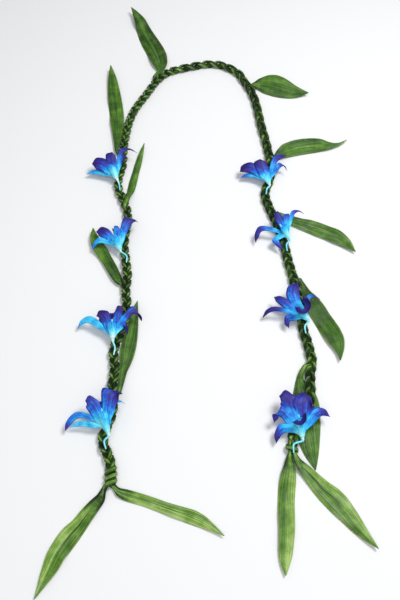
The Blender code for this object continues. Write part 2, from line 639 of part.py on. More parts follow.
def funnel(name, spur, throat, group, material):
    """Where petals and sepals have grown together: a cone from the spur, hollow at its mouth."""
    ahead = throat - spur
    side = ahead.orthogonal().normalized()
    other = ahead.normalized().cross(side)
    mesh = bmesh.new()
    rows = []
    angles = [2 * math.pi * k / FUNNEL_SIDES for k in range(FUNNEL_SIDES)]
    for share, radius in FUNNEL_SHAPE:
        middle = spur + ahead * share
        ring = [middle + (side * math.cos(a) + other * math.sin(a)) * radius for a in angles]
        rows.append([mesh.verts.new(point) for point in ring])
    for low, high in zip(rows, rows[1:]):
        for j in range(FUNNEL_SIDES):
            after = (j + 1) % FUNNEL_SIDES
            mesh.faces.new((low[j], low[after], high[after], high[j]))
    mesh.faces.new(rows[0])
    mesh.faces.new(rows[-1])
    bmesh.ops.recalc_face_normals(mesh, faces=mesh.faces)
    return finished(name, mesh, group, material)


def union_of(name, pieces, group, material):
    """Fuses a bloom's pieces into its first one, and removes the others."""
    helper = new_collection(name + "_pieces", helper=True)
    first = pieces[0]
    for piece in pieces[1:]:
        group.objects.unlink(piece)
        helper.objects.link(piece)
    fuse = first.modifiers.new("fuse", "BOOLEAN")
    fuse.operation = "UNION"
    fuse.operand_type = "COLLECTION"
    fuse.collection = helper
    fuse.solver = "MANIFOLD"
    graph = bpy.context.evaluated_depsgraph_get()
    fused = bpy.data.meshes.new_from_object(first.evaluated_get(graph))
    bpy.data.objects.remove(first, do_unlink=True)
    for piece in list(helper.objects):
        bpy.data.objects.remove(piece, do_unlink=True)
    bpy.data.collections.remove(helper)
    fused.name = name
    fused.materials.clear()
    fused.materials.append(material)
    obj = bpy.data.objects.new(name, fused)
    group.objects.link(obj)
    return obj


def nearest_distance(rope, point):
    flat = Vector((point.x, point.y, 0))
    return min((i * MM for i in range(int(rope.length / MM))), key=lambda s: (rope.spot(s) - flat).length)


def stalk_stops(rope, name, spur, throat):
    """The stalk leaves the spur and lies along the top of the plait, towards the plait's end."""
    s = nearest_distance(rope, spur)
    left = "left" in name
    back, away = (-1, 1) if left else (1, -1)
    top = HALF_HEIGHT + GAP + STALK_RADIUS + (0.6 * MM if name == TIED_BLOOM else 0)
    line = [between(spur, throat, 0.3), between(spur, throat, 0.02),
            rope.place(s + back * 6 * MM, -1.6 * away * MM, top),
            rope.place(s + back * STALK_LENGTH, -0.6 * away * MM, top)]
    stops = [(hermite(line, i / 2), STALK_RADIUS) for i in range(1, 7)]
    return stops[:-1] + [(stops[-1][0], 0.85 * STALK_RADIUS)]


def lip_solid(name, root, tip, hollow, width, curl, group, material):
    """The trough of the lip: a curved sheet that widens, and whose end curls outwards."""
    ahead = (tip - root).normalized()
    up = (hollow - ahead * hollow.dot(ahead)).normalized()
    lateral = ahead.cross(up)
    far = (tip - root).length
    half = round(curl / LIP_SECTION)
    angles = [math.radians(curl * j / half) for j in range(-half, half + 1)]
    size = 2 * len(angles)
    mesh = bmesh.new()
    rows = []
    for share, round_by, drop in LIP_SHAPE:
        radius = 0.5 * width * round_by
        centre = root + ahead * far * share + up * (drop * far + radius * 0.5)
        inner = [centre + (lateral * math.sin(a) - up * math.cos(a)) * radius for a in angles]
        outer = [centre + (lateral * math.sin(a) - up * math.cos(a)) * (radius + LIP_THICK) for a in angles]
        rows.append([mesh.verts.new(p) for p in inner + outer[::-1]])
    for low, high in zip(rows, rows[1:]):
        for j in range(size):
            a, b, d, e = low[j], low[(j + 1) % size], high[j], high[(j + 1) % size]
            for face in (((a, b, e), (a, e, d)) if j < size // 2 else ((a, b, d), (b, e, d))):
                mesh.faces.new(face)
    for row in (rows[0], rows[-1]):
        for j in range(size // 2 - 1):
            mesh.faces.new((row[j], row[j + 1], row[size - 2 - j], row[size - 1 - j]))
    bmesh.ops.recalc_face_normals(mesh, faces=mesh.faces)
    return finished(name, mesh, group, material)


def build_bloom(rope, name, row, group):
    spur, throat, tepals = row
    spur, throat = Vector(spur) * MM, Vector(throat) * MM
    axis = (throat - spur).normalized()
    blue = petal_skin(name)
    pieces = [funnel(name + "_funnel", spur, throat, group, blue)]
    for i, (kind, tip, middle, width) in enumerate(tepals):
        tip, middle = Vector(tip) * MM, Vector(middle) * MM
        out = (tip - throat) - axis * (tip - throat).dot(axis)
        root = between(spur, throat, ROOT_AT) + out.normalized() * ROOT_OUT
        rings = tepal_rings(root, middle, tip, SEEN_FROM, width * MM, kind)
        pieces.append(ribbon(f"{name}_{kind}_{i}", rings, group, blue))
    pieces.append(tube(name + "_stalk", stalk_stops(rope, name, spur, throat), 5, group, blue))
    pieces.append(tube(name + "_column", [(between(spur, throat, 0.66), COLUMN_RADIUS),
                                          (throat + axis * COLUMN_LENGTH, COLUMN_RADIUS)], 5, group, blue))
    union_of(name, pieces, group, blue)
    lip_root, lip_tip, opening, lip_width, curl = LIPS[name]
    lip_solid(name + "_lip", Vector(lip_root) * MM, Vector(lip_tip) * MM, Vector(opening), lip_width * MM,
              curl, group, lip_skin(name))


def build_blooms(rope, group):
    for name, row in BLOOMS.items():
        build_bloom(rope, name, row, group)


clear_scene()
LEI_GROUP = new_collection(LEI)
ROPE_LINE = Rope()
build_leaves(ROPE_LINE, LEI_GROUP)
build_blooms(ROPE_LINE, LEI_GROUP)
for piece in LEI_GROUP.objects:
    piece.location = TO_ORIGIN
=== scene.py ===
"""Looks of the ti leaf orchid lei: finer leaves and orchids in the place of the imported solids.

The plait, the blades and the orchids are laid out here by the same measures as the solids, then
refined: smooth strands with creases, blades with a midrib and thin margins, ruffled petals.
"""

import random
from math import atan2, cos, exp, pi, radians, sin, tau

import bpy
import numpy as np
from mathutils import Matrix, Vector


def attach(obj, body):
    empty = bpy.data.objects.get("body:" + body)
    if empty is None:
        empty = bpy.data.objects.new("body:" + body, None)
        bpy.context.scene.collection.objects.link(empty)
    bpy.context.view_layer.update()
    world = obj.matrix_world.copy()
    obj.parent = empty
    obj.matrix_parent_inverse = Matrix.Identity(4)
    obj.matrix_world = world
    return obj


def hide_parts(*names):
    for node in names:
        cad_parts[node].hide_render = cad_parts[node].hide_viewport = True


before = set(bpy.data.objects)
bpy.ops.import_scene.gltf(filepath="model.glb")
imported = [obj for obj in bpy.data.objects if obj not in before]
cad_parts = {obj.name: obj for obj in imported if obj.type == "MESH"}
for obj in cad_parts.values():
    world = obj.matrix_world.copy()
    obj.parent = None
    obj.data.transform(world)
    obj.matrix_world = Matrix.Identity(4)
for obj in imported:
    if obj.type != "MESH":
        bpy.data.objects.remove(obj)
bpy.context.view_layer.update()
SCENE = bpy.context.scene

MM = 0.001

# Plait: one strand swings from side to side once a period, and rises and falls twice
PERIOD = 36.0 * MM
RISE = 2.6 * MM
# Where it is looser, so that its periods are longer: from, to, and the length that it gains
SLACK_FROM = 620.0 * MM
SLACK_TO = 862.0 * MM
SLACK_GAIN = 2 * PERIOD
# Width, thickness and swing of a strand: where it crosses the middle, between, and as a lobe
CROSSING = (5.2 * MM, 1.2 * MM, 3.7 * MM)
SLOPE = (4.7 * MM, 2.3 * MM, 4.2 * MM)
LOBE = (6.0 * MM, 3.9 * MM, 3.0 * MM)
# Where a strand is measured: phase in degrees, lean of its face, and those measures
SECTIONS = (
    (0, 156, *CROSSING), (35, 81, *SLOPE), (90, 0, *LOBE), (145, -81, *SLOPE),
    (180, -156, *CROSSING), (215, -81, *SLOPE), (270, 0, *LOBE), (325, 81, *SLOPE),
)
# A strand's ends keep this many degrees from the measured places
END_APART = 4
# Half the height of the plait, and its usual height off the table
HALF_HEIGHT = 3.65 * MM
ROPE_CLEAR = 0.5 * MM
# It is lifted over the leaf under its right end, and at the knot: by how much, and from and to where
LEAF_UNDER = 1.5 * MM
LEAF_UNDER_SPAN = (1164 * MM, 1184 * MM)
KNOT_LIFT = 1.0 * MM
KNOT_LIFT_SPAN = (6 * MM, 40 * MM)
# Places where it sags onto the table, how far each sag reaches and how steeply, and how far the
# plait is pressed there
REST_SPOTS = (75.0 * MM, 300.0 * MM, 669.0 * MM, 1000.0 * MM, 1130.0 * MM)
REST_REACH = 22.0 * MM
REST_STEEP = 1.6
REST_PRESS = 0.12 * MM

# Middle line of the plait on the table, left end first
ROPE = (
    (-109, -309), (-109, -299), (-110, -288), (-113, -277), (-118, -267), (-120, -257), (-117, -245),
    (-113, -232), (-112, -216), (-114, -201), (-113, -187), (-113, -175), (-115, -163), (-114, -151),
    (-110, -139), (-106, -124), (-104, -108), (-104, -95), (-106, -80), (-105, -61), (-107, -46),
    (-109, -33), (-111, -20), (-111, -6), (-109, 17), (-110, 33), (-116, 51), (-121, 63), (-124, 76),
    (-123, 91), (-120, 106), (-120, 124), (-120, 140), (-118, 161), (-115, 184), (-109, 205), (-101, 222),
    (-91, 241), (-82, 259), (-68, 276), (-51, 284), (-31, 290), (-11, 295), (6, 294), (21, 287), (34, 276),
    (43, 258), (51, 240), (56, 221), (59, 201), (62, 177), (66, 154), (69, 133), (71, 114), (71, 96),
    (68, 81), (63, 68), (62, 55), (65, 43), (69, 30), (74, 15), (78, 0), (81, -15), (83, -29), (85, -43),
    (88, -57), (90, -72), (93, -88), (95, -104), (95, -120), (96, -134), (99, -147), (101, -160),
    (102, -172), (99, -185), (98, -199), (97, -214), (91, -228), (84, -242), (77, -253), (74, -264),
    (74, -276),
)

# Knot at the left end, tie at the right end: bands that go round the end of the plait
PLAIT_START = 22
PLAIT_END = 1269.0 * MM
KNOT_RADII = (4.4 * MM, 3.2 * MM)
KNOT_BAND = (5.6 * MM, 3.0 * MM)
KNOT_SPAN = (19.0 * MM, 3.4 * MM)
# Degrees that each of its two leaves goes round, and in how many steps
KNOT_TURN, KNOT_STEPS = 450, 14
TIE_RADII = (5.5 * MM, 3.5 * MM)
TIE_BAND = (4.8 * MM, 1.5 * MM)
# The tie: distance past the plait's end and length in millimetres, first angle, degrees, steps
TIE_FROM, TIE_LENGTH = 3.6, 9.6
TIE_ANGLE, TIE_TURN, TIE_STEPS = 42, 385, 13
# It comes out of the plait at a slant: how far it is turned there, and how fast it turns on
TIE_SLANT, TIE_TURNING = 0.55, 3

# Blades: thickness, share of it at the very tip, least width, and rings to a measured stretch
BLADE_THICK = 0.9 * MM
TIP_THIN = 0.7
TIP_WIDTH = 0.9 * MM
BLADE_RINGS = 1.5
# Height of a blade's middle in millimetres: by the plait, out of the tie, of the knot, and halfway
BESIDE_HEIGHT, TIE_HEIGHT, KNOT_HEIGHT, LOW_HEIGHT = 3.2, 4.2, 3.0, 1.2
# Its edges: height over the table, how far they wave, and the width from which they wave in full
TABLE_GAP = 0.4 * MM
EDGE_WAVE = 0.7 * MM
WAVE_WIDTH = 14 * MM
# How a leaf leaves the plait, beside it or over it: distance on, across, up, and width
NECK_BESIDE = ((5.0, 6.6, 0.4, 4.6), (10.0, 8.3, 0.2, 5.0))
NECK_OVER = ((4.5, 0.8, 4.4, 5.4), (11.0, -3.4, 4.9, 6.2), (17.0, -7.2, 5.2, 7.0))
# Least distance onward along the plait from there to the blade
LEAST_ONWARD = 3.0 * MM
# Degrees from the lobe where one leaf left to the start of the next, and from where a leaf leaves
# over the top to its outer lobe
START_PAST, OVER_BEFORE = 52, 60
# The trailing leaves inside the tie: distance past the plait's end, across, and width
BUNDLE = ((6.0, 2.0, 3.4), (14.0, 2.0, 3.4), (20.0, 3.4, 5.6))
BUNDLE_THICK = 2.4 * MM

# Each leaf: strand, where it starts and where its tip leaves the plait, side that it leaves on
# (1 outer, -1 inner, 0 over the top to the inner side), fold slope, roll in degrees, tip height, the
# rows that lie flat on the table (9 and 9: none), its blade as (x, y, width) in millimetres from
# the plait to the tip, and its looks: how pale it is (0 to 1), how glossy, which also sets how strong
# its painted sheen is, how yellow its margins are, how much paler its right half is, as painted light
# on the fold, and its midrib: 1 a pale line, -1 a dark crease of painted shade
LEAVES = {
    "leaf_left_1": (0, PLAIT_START, 114, -1, 0.1, 0, 3.0, (9, 9), (
        (-102.8, -181, 9), (-100.9, -170, 13.5), (-99.6, -156, 16.5), (-97.4, -141, 15.4),
        (-94.8, -121, 10.5), (-94, -107, 7.5), (-91.8, -94.6, 0)), (0.4, 0.35, 0.3, 0.1, 0.5)),
    "leaf_left_2": (2, PLAIT_START, 237, 1, 0.22, 0, 6.0, (9, 9), (
        (-116, -65.6, 9.5), (-121.6, -54.8, 12.4), (-127.2, -44, 13.1), (-134, -32.1, 14),
        (-140.5, -21.8, 15), (-147, -9, 11.5), (-150, 6, 0)), (0.42, 0.35, 0.2, 0.1, -0.6)),
    "leaf_left_3": (1, PLAIT_START, 346, 0, -0.45, 0, 7.0, (9, 9), (
        (-107.6, 67, 9.2), (-106, 78, 10), (-102.4, 100, 9), (-97.6, 124, 7), (-93, 142, 0)),
        (0.48, 0.3, 0.3, -0.1, 0.3)),
    "leaf_left_4": (0, 114, 439, 1, 0.12, 0, 9.0, (1, 2), (
        (-130, 165, 14), (-132, 189, 19), (-136, 218, 19), (-141, 251, 15), (-144, 272, 9), (-146, 286, 0)),
        (0.46, 0.3, 0.3, -0.14, -0.5)),
    "leaf_left_5": (0, 439, 588, 1, 0.12, 0, 10.0, (2, 4), (
        (-76.5, 282, 9), (-77.5, 298, 22.5), (-85, 325.5, 27.5), (-94, 346, 26.5), (-103, 369, 22),
        (-114, 394, 12), (-123, 409, 0)), (0.36, 0.3, 0.2, 0.06, 0.6)),
    "leaf_right_1": (2, 237, 747, 1, 0.1, 30, 5.0, (9, 9), (
        (60, 254, 14), (68, 253.5, 24), (82, 248, 30), (100, 241.5, 25), (115, 238, 14.5), (130, 236, 0)),
        (0.42, 0.25, 0.2, 0.12, 0.6)),
    "leaf_right_2": (0, 588, 877, 1, 0.1, 14, 4.0, (9, 9), (
        (81.5, 124, 10), (91, 131.5, 19), (104, 137.5, 23), (125.6, 141.5, 22), (141.2, 142.3, 17),
        (156.8, 141.5, 6.5), (174, 150, 0)), (0.46, 0.25, 0.2, -0.1, 0.5)),
    "leaf_right_3": (1, 346, 968, 1, 0.14, 8, 3.0, (9, 9), (
        (85.5, 25, 8), (94, 20, 12), (105, 15, 15), (120, 9, 19), (136, 1, 19), (152, -10, 16),
        (166, -27, 0)), (0.44, 0.95, 0.3, 0.06, 0.6)),
    "leaf_right_4": (2, 747, 1065, 1, 0.1, 0, 4.0, (2, 3), (
        (103, -84, 11), (110, -97, 18), (117.5, -113, 22), (125.5, -130, 22.5), (131.6, -146, 18.5),
        (133.8, -158, 9.5), (133.3, -170, 0)), (0.33, 0.25, 0.5, 0.06, -0.3)),
    "leaf_right_5": (0, 877, 1178, -1, 0.0, 0, 1.0, (0, 6), (
        (88, -190, 8), (91, -206, 24), (92, -223, 30), (92.5, -243, 27), (93, -263, 21), (95, -278, 12),
        (97, -290, 0)), (0.42, 0.35, 0.4, 0.1, 0.4)),
}
# The last leaves end at the right end of the plait: two of them in a blade that trails there, with
# strand, start, side, fold, tip height, flat rows, blade and looks, and one as the tie round them
TAILS = {
    "leaf_tail_right_inner": (2, 1065, -1, 0.06, 3.0, (2, 3), (
        (70.3, -287.5, 10.5), (68.8, -296, 15), (66.6, -309, 17), (64.9, -326, 17), (64, -346, 16),
        (62.7, -361, 14.5), (60.7, -377, 11.5), (60.3, -391, 0)), (0.66, 0.45, 0.9, 0.3, -0.5)),
    "leaf_tail_right_outer": (1, 968, 1, -0.3, 4.0, (9, 9), (
        (82.6, -287, 9.5), (90.5, -295.5, 14.5), (102.6, -309.8, 19.5), (115.3, -322.5, 22.5),
        (125, -334.5, 19), (136, -350, 12.5), (150, -367, 0)), (0.62, 0.75, 0.6, 0.2, -1.0)),
}
TIE = ("leaf_tie_right", 0, 1178, (0.3, 0.4, 0.2, 0.0, 0.0))
# The two leaves that are wound round each other as the knot at the left end and trail from it:
# angle round the knot where each one leaves it, fold, tip height, flat rows, blade and looks
KNOTTED = {
    "leaf_tail_left_outer": (70, 0.1, 2.0, (2, 4), (
        (-118.5, -319, 9), (-126.3, -329, 12.5), (-137, -343.4, 16.5), (-147.5, -356.5, 20.5),
        (-155.7, -370.3, 18.5), (-161.3, -384, 15.3), (-167, -397.3, 8.5), (-172.8, -411, 0)),
        (0.69, 0.85, 0.7, -0.3, -0.9)),
    "leaf_tail_left_inner": (-110, -0.28, 3.0, (9, 9), (
        (-101, -312.5, 7), (-91.5, -315.8, 10.5), (-72.2, -321.5, 11.5), (-49.4, -329.5, 12.3),
        (-27, -337, 14), (-14.5, -343, 10.5), (3.4, -355, 0)), (0.78, 1.0, 0.5, 0.16, -0.7)),
}

# Petals and sepals: places along them with the share of the full width there, how far the edges
# bend back as a share of the width, and how deep the edges' ruffles are
KINDS = {
    "p": (((0.0, 0.45), (0.32, 0.80), (0.62, 1.0), (0.85, 0.86), (1.0, 0.26)), -0.22, 0.9 * MM),
    "s": (((0.0, 0.70), (0.30, 1.0), (0.58, 1.0), (0.82, 0.70), (1.0, 0.12)), -0.26, 0.35 * MM),
}
# Orchids: base of the spur, throat, kinds, then for each petal or sepal x, y, z of its tip and of
# its middle, width, and how far the dark dye reaches; last the lip: root, tip, the way the trough
# opens, width, and degrees that it curls to each side
BLOOMS = {
    "orchid_left_1": ((-123.6, 77.2, 10), (-132.7, 95.3, 17), "pspss", (
        (-157, 98.6, 17, -142.6, 95.2, 19, 17, 1.0), (-164.6, 89.9, 8, -145.6, 89.8, 12, 7, 0.2),
        (-131.6, 111.5, 25, -132.5, 100.8, 22, 13, 0.95), (-101.1, 119.6, 14, -119.5, 115.8, 22, 6, 1.1),
        (-112.4, 112.1, 13, -121.8, 106, 18, 7, 0.75)),
        ((-133.8, 95.8, 13.5), (-136.5, 106.5, 16.1), (0.35, -0.41, 0.84), 6.9, 84)),
    "orchid_left_2": ((-113.7, -30.6, 10), (-121.1, -12.8, 17), "pssps", (
        (-144.1, -6.9, 17, -131.7, -11.3, 19, 13, 0.95), (-148.2, -26.1, 7, -137.7, -17.2, 15, 7, 0.25),
        (-117.4, -3.2, 24, -118.6, -8.4, 21, 8, 0.5), (-94.8, 8.5, 15, -107.3, 4.1, 22, 12, 1.0),
        (-105.3, -2.6, 13, -110.9, -4, 17, 7, 0.5)),
        ((-119.5, -10.8, 14.3), (-122.1, 0.0, 16.3), (0.33, -0.11, 0.94), 6.7, 84)),
    "orchid_left_3": ((-115.8, -149.7, 10), (-117.2, -129.3, 18), "pssps", (
        (-135.3, -122.3, 19, -126.2, -124.1, 20, 13, 1.1),
        (-156.3, -131.7, 7, -142.3, -125.2, 15, 8, 0.15),
        (-106, -112.4, 24, -110.7, -120.2, 21.5, 8, 0.85),
        (-84.7, -124.8, 12, -96.6, -117.1, 21, 9, 1.05), (-100.2, -140.7, 10, -105.1, -129.3, 18, 9, 0.8)),
        ((-118.5, -127.0, 16.4), (-118.8, -117.3, 18.4), (-0.16, -0.89, 0.42), 6.4, 84)),
    "orchid_left_4": ((-113.2, -257.2, 10), (-120.9, -233.7, 19), "pssps", (
        (-159.1, -251.3, 8, -142.6, -236.6, 16, 7, 0.6), (-154.3, -247.5, 8, -136.2, -245.6, 13, 6, 0.05),
        (-138.4, -224.8, 24, -131, -228.7, 23, 13, 0.65),
        (-101, -215.5, 20, -113, -219.5, 24.5, 19, 0.92), (-98.3, -223.7, 13, -110.1, -225.7, 18, 5, 0.2)),
        ((-121.8, -231.8, 16.9), (-123.7, -223.1, 19.3), (0.57, -0.37, 0.73), 6.9, 84)),
    "orchid_right_1": ((68, 69.2, 10), (60.8, 88.8, 17), "pssps", (
        (30.7, 88.9, 13, 45.6, 91.2, 18, 14, 1.1), (31.4, 84.1, 8, 50.8, 84, 13, 7, 0.25),
        (55.7, 100.7, 24, 56.8, 92.6, 22, 15, 0.95), (90, 111.9, 17, 75, 101.7, 21, 8, 0.9),
        (91, 94, 9, 81.7, 98.7, 15, 6, 0.6)),
        ((61.6, 90.3, 13.7), (59.4, 99.3, 15.3), (-0.09, -0.51, 0.85), 7.0, 84)),
    "orchid_right_2": ((87.8, -13.3, 10), (77, 1.1, 18), "psssp", (
        (47.2, -15.5, 7, 55.6, -1.5, 17.5, 7, 1.0), (79, -27, 9, 70.2, -14.4, 14.5, 8, 0.75),
        (73.7, 18.2, 25, 74.6, 9.3, 23, 9, 0.95), (106.9, 22.8, 13, 92.4, 19, 20, 5, 0.6),
        (87.5, 17.5, 20, 83.2, 9.3, 21, 8, 0.6)),
        ((77.7, 1.2, 15.8), (73.0, 9.1, 18.7), (0.02, -0.5, 0.87), 6.7, 84)),
    "orchid_right_3": ((102, -123.5, 10), (90.6, -113.6, 17), "pspss", (
        (90.1, -80.6, 22, 84.8, -99.7, 22, 15, 0.85), (63.9, -95, 14, 75.2, -105.7, 19, 10, 0.85),
        (51, -117.7, 7, 66.1, -112.3, 17, 5.5, 1.05), (79.3, -132.2, 8, 79.2, -121.6, 13.5, 8, 0.85),
        (116.4, -96.5, 11, 102.9, -97.3, 18, 5, 0.65)),
        ((94.4, -113.1, 24.1), (96.8, -116.7, 28.2), (-0.8, 0.55, 0.2), 19.0, 130)),
    "orchid_right_4": ((85.1, -262.5, 10), (81.6, -239.9, 18), "ppsss", (
        (61.9, -218.4, 22, 71.7, -226.2, 22, 16, 0.8), (95.5, -220.5, 21.5, 86.8, -228, 22.5, 23, 0.9),
        (114.4, -238, 13, 100.2, -235.9, 18.5, 10.5, 0.75), (56.1, -244.5, 13, 64.3, -234.8, 19, 11, 0.8),
        (57.6, -264.6, 8, 66, -250.2, 14, 10, 0.8)),
        ((81.3, -243.8, 23.6), (81.9, -246.7, 28.2), (-0.56, 0.83, 0.02), 15.9, 84)),
}
# The orchid whose stalk lies over the tie
TIED_BLOOM = "orchid_right_4"
TEPAL_THICK = 0.8 * MM
# Distance of a petal's root from the middle of the funnel
ROOT_OUT = 1.8 * MM
# The way that the broad faces of petals and sepals are turned: up and to the open end of the U
SEEN_FROM = Vector((0, -0.45, 0.9))
SPUR_RADIUS = 1.5 * MM
THROAT_RADIUS = 6.6 * MM
# How the funnel widens from the one to the other: from what share of its length, and how evenly
FLARE_FROM = 0.08
FLARE = 0.95
STALK_RADIUS = 1.05 * MM
# Where it goes: shares of the funnel, then along and across the plait, the latter in millimetres
STALK_INSIDE = (0.3, 0.02)
STALK_SPOTS = ((6 * MM, 1.6), (15.0 * MM, 0.6))
# Gap between it and the plait, and how much higher it is over the tie
GAP = 0.3 * MM
TIE_CLEAR = 0.6 * MM
# The column, from what share of the funnel's length, and how far it stands out of it
COLUMN_FROM = 0.66
COLUMN_RADIUS = 1.3 * MM
COLUMN_LENGTH = 3.0 * MM
LIP_THICK = 0.7 * MM
# The trough of the lip: place along it, share of its full width, and how far it drops
LIP_SHAPE = ((0.0, 0.34, 0.0), (0.35, 0.62, -0.02), (0.7, 1.0, -0.02), (1.0, 0.86, -0.16))
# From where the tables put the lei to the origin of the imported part
TO_ORIGIN = Vector((-0.5, 0.95, 0)) * MM
UP = Vector((0, 0, 1))
# Six corners of a blade's section, in shares of its width and thickness
BLADE_SECTION = ((-0.5, 0.5), (0, 0.5), (0.5, 0.5), (0.5, -0.5), (0, -0.5), (-0.5, -0.5))
# Height of the edges of a strand's section, as a share of its thickness
LENS_EDGE = 0.32
# The plait's middle line: parts from one row of ROPE to the next, and how far it goes on beyond both
LINE_PARTS = 8
BEYOND = 100 * MM


def between(a, b, share):
    return a + (b - a) * share


def smooth(t):
    t = np.clip(t, 0, 1)
    return t * t * (3 - 2 * t)


def ramp(value, low, high):
    return smooth((value - low) / (high - low))


def left_of(ahead):
    return Vector((-ahead.y, ahead.x, 0))


def hermite(points, at):
    """Smooth curve through points, at a place counted in points."""
    i = min(int(at), len(points) - 2)
    t = at - i
    p1, p2 = points[i], points[i + 1]
    p0 = points[i - 1] if i else p1 * 2 - p2
    p3 = points[i + 2] if i + 2 < len(points) else p2 * 2 - p1
    return 0.5 * (p1 * 2 + (p2 - p0) * t + (p0 * 2 - p1 * 5 + p2 * 4 - p3) * t * t
                  + (p1 * 3 - p0 - p2 * 3 + p3) * t ** 3)


def heading(points, at):
    """Direction of that curve."""
    before, after = max(at - 0.05, 0), min(at + 0.05, len(points) - 1)
    return (hermite(points, after) - hermite(points, before)).normalized()


class Rope:
    """The middle line of the plait, by distance along it."""

    def __init__(self):
        knots = [Vector((x * MM, y * MM, 0)) for x, y in ROPE]
        line = [hermite(knots, i / LINE_PARTS) for i in range(LINE_PARTS * (len(knots) - 1) + 1)]
        steps = [(b - a).length for a, b in zip(line, line[1:])]
        self.length = sum(steps)
        # It goes straight on for a while beyond both ends
        first, last = (line[0] - line[1]).normalized(), (line[-1] - line[-2]).normalized()
        line = [line[0] + first * BEYOND, *line, line[-1] + last * BEYOND]
        self.far = np.cumsum([-BEYOND, BEYOND, *steps, BEYOND])
        self.x, self.y = [p.x for p in line], [p.y for p in line]

    def spot(self, s):
        return Vector((np.interp(s, self.far, self.x), np.interp(s, self.far, self.y), 0))

    def ahead(self, s):
        return (self.spot(s + 4 * MM) - self.spot(s - 4 * MM)).normalized()

    def height(self, s):
        sag = max(1 - abs(s - spot) / REST_REACH for spot in REST_SPOTS)
        lift = ROPE_CLEAR * (1 - smooth(sag * REST_STEEP)) - REST_PRESS * smooth(sag)
        lift += LEAF_UNDER * ramp(s, *LEAF_UNDER_SPAN) + KNOT_LIFT * (1 - ramp(s, *KNOT_LIFT_SPAN))
        return HALF_HEIGHT + lift

    def place(self, s, across, up):
        """A point beside the middle line: across is to the outer side of the U."""
        point = self.spot(s) + left_of(self.ahead(s)) * across
        return Vector((point.x, point.y, max(0.0, self.height(s) + up)))

    def nearest(self, point):
        """The distance, to a millimetre, at which the line comes nearest to a point."""
        flat = Vector((point.x, point.y, 0))
        return min((i * MM for i in range(int(self.length / MM))), key=lambda s: (self.spot(s) - flat).length)


PLAIT = Rope()


def lens(width, thick):
    """Six corners of a leaf's section: its upper side and then its lower side, back."""
    wide, high, edge = 0.5 * width, 0.5 * thick, LENS_EDGE * thick
    return (-wide, edge), (0, high), (wide, edge), (wide, -edge), (0, -high), (-wide, -edge)


def measured_ring(s, theta, section):
    """The ring of a strand at a distance, for one row of SECTIONS."""
    _, lean, width, thick, swing = section
    angle, lean = radians(theta), radians(lean)
    across, up = swing * sin(angle), RISE * sin(2 * angle)
    nx, ny = cos(lean), sin(lean)
    return [PLAIT.place(s, across + u * ny + v * nx, up - u * nx + v * ny) for u, v in lens(width, thick)]


def strand_ring(strand, theta):
    """The ring of a strand at a total phase, straight between the two measured rings round it."""
    turns, rest = divmod(theta, 360)
    marks = [m[0] for m in SECTIONS] + [360]
    low = max(i for i, mark in enumerate(marks) if mark <= rest + 1e-9)
    if low == len(SECTIONS):
        low, turns, rest = 0, turns + 1, 0
    rings = []
    for i in (low, low + 1):
        s = distance_of(strand, marks[i] + 360 * turns)
        rings.append(measured_ring(s, marks[i], SECTIONS[i % len(SECTIONS)]))
    share = (rest - marks[low]) / (marks[low + 1] - marks[low])
    return [between(a, b, share) for a, b in zip(*rings)]


def distance_of(strand, theta):
    """Distance along the plait of a strand's phase: longer periods where the plait is looser."""
    even = PERIOD * (theta - 120 * strand) / 360
    share = (even - SLACK_FROM) / (SLACK_TO - SLACK_FROM - SLACK_GAIN)
    return even + SLACK_GAIN * min(1.0, max(0.0, share))


def phase_at(strand, s):
    """The other way round."""
    share = (s - SLACK_FROM) / (SLACK_TO - SLACK_FROM)
    even = s - SLACK_GAIN * min(1.0, max(0.0, share))
    return 360 * even / PERIOD + 120 * strand


def lobe_near(strand, s, side):
    """Phase of the strand's outer (1) or inner (-1) lobe nearest to a distance."""
    want = 90 if side > 0 else 270
    return want + 360 * round((phase_at(strand, s) - want) / 360)


def plaited(strand, start, end):
    """Rings of one strand from where its leaf starts to a phase."""
    start = start_phase(strand, start)
    turns = range(int(start // 360), int(end // 360) + 1)
    marks = sorted({m[0] + 360 * turn for m in SECTIONS for turn in turns})
    inside = [m for m in marks if start + END_APART < m < end - END_APART]
    return [strand_ring(strand, m) for m in [start, *inside, end]]


def blade_ring(centre, ahead, width, thick, fold, roll, lift):
    """A flat leaf's section, folded along its midrib, with each edge lifted by a wave."""
    side = left_of(ahead).normalized()
    normal = ahead.cross(side).normalized()
    turn = radians(roll)
    across = side * cos(turn) + normal * sin(turn)
    face = normal * cos(turn) - side * sin(turn)
    ring = []
    for u, v in BLADE_SECTION:
        rise = fold * abs(u) * width + (lift[0] if u < 0 else lift[1] if u > 0 else 0)
        ring.append(centre + across * (u * width) + face * (v * thick) + UP * rise)
    low = min(p.z for p in ring)
    return [p + UP * (TABLE_GAP - low) for p in ring] if low < TABLE_GAP else ring


def flat_ring(centre, ahead, width, thick):
    """The same section where the blade lies flat on the table."""
    side = left_of(ahead).normalized() * width
    foot = Vector((centre.x, centre.y, 0))
    return [foot + side * u + UP * (thick * (v + 0.5)) for u, v in BLADE_SECTION]


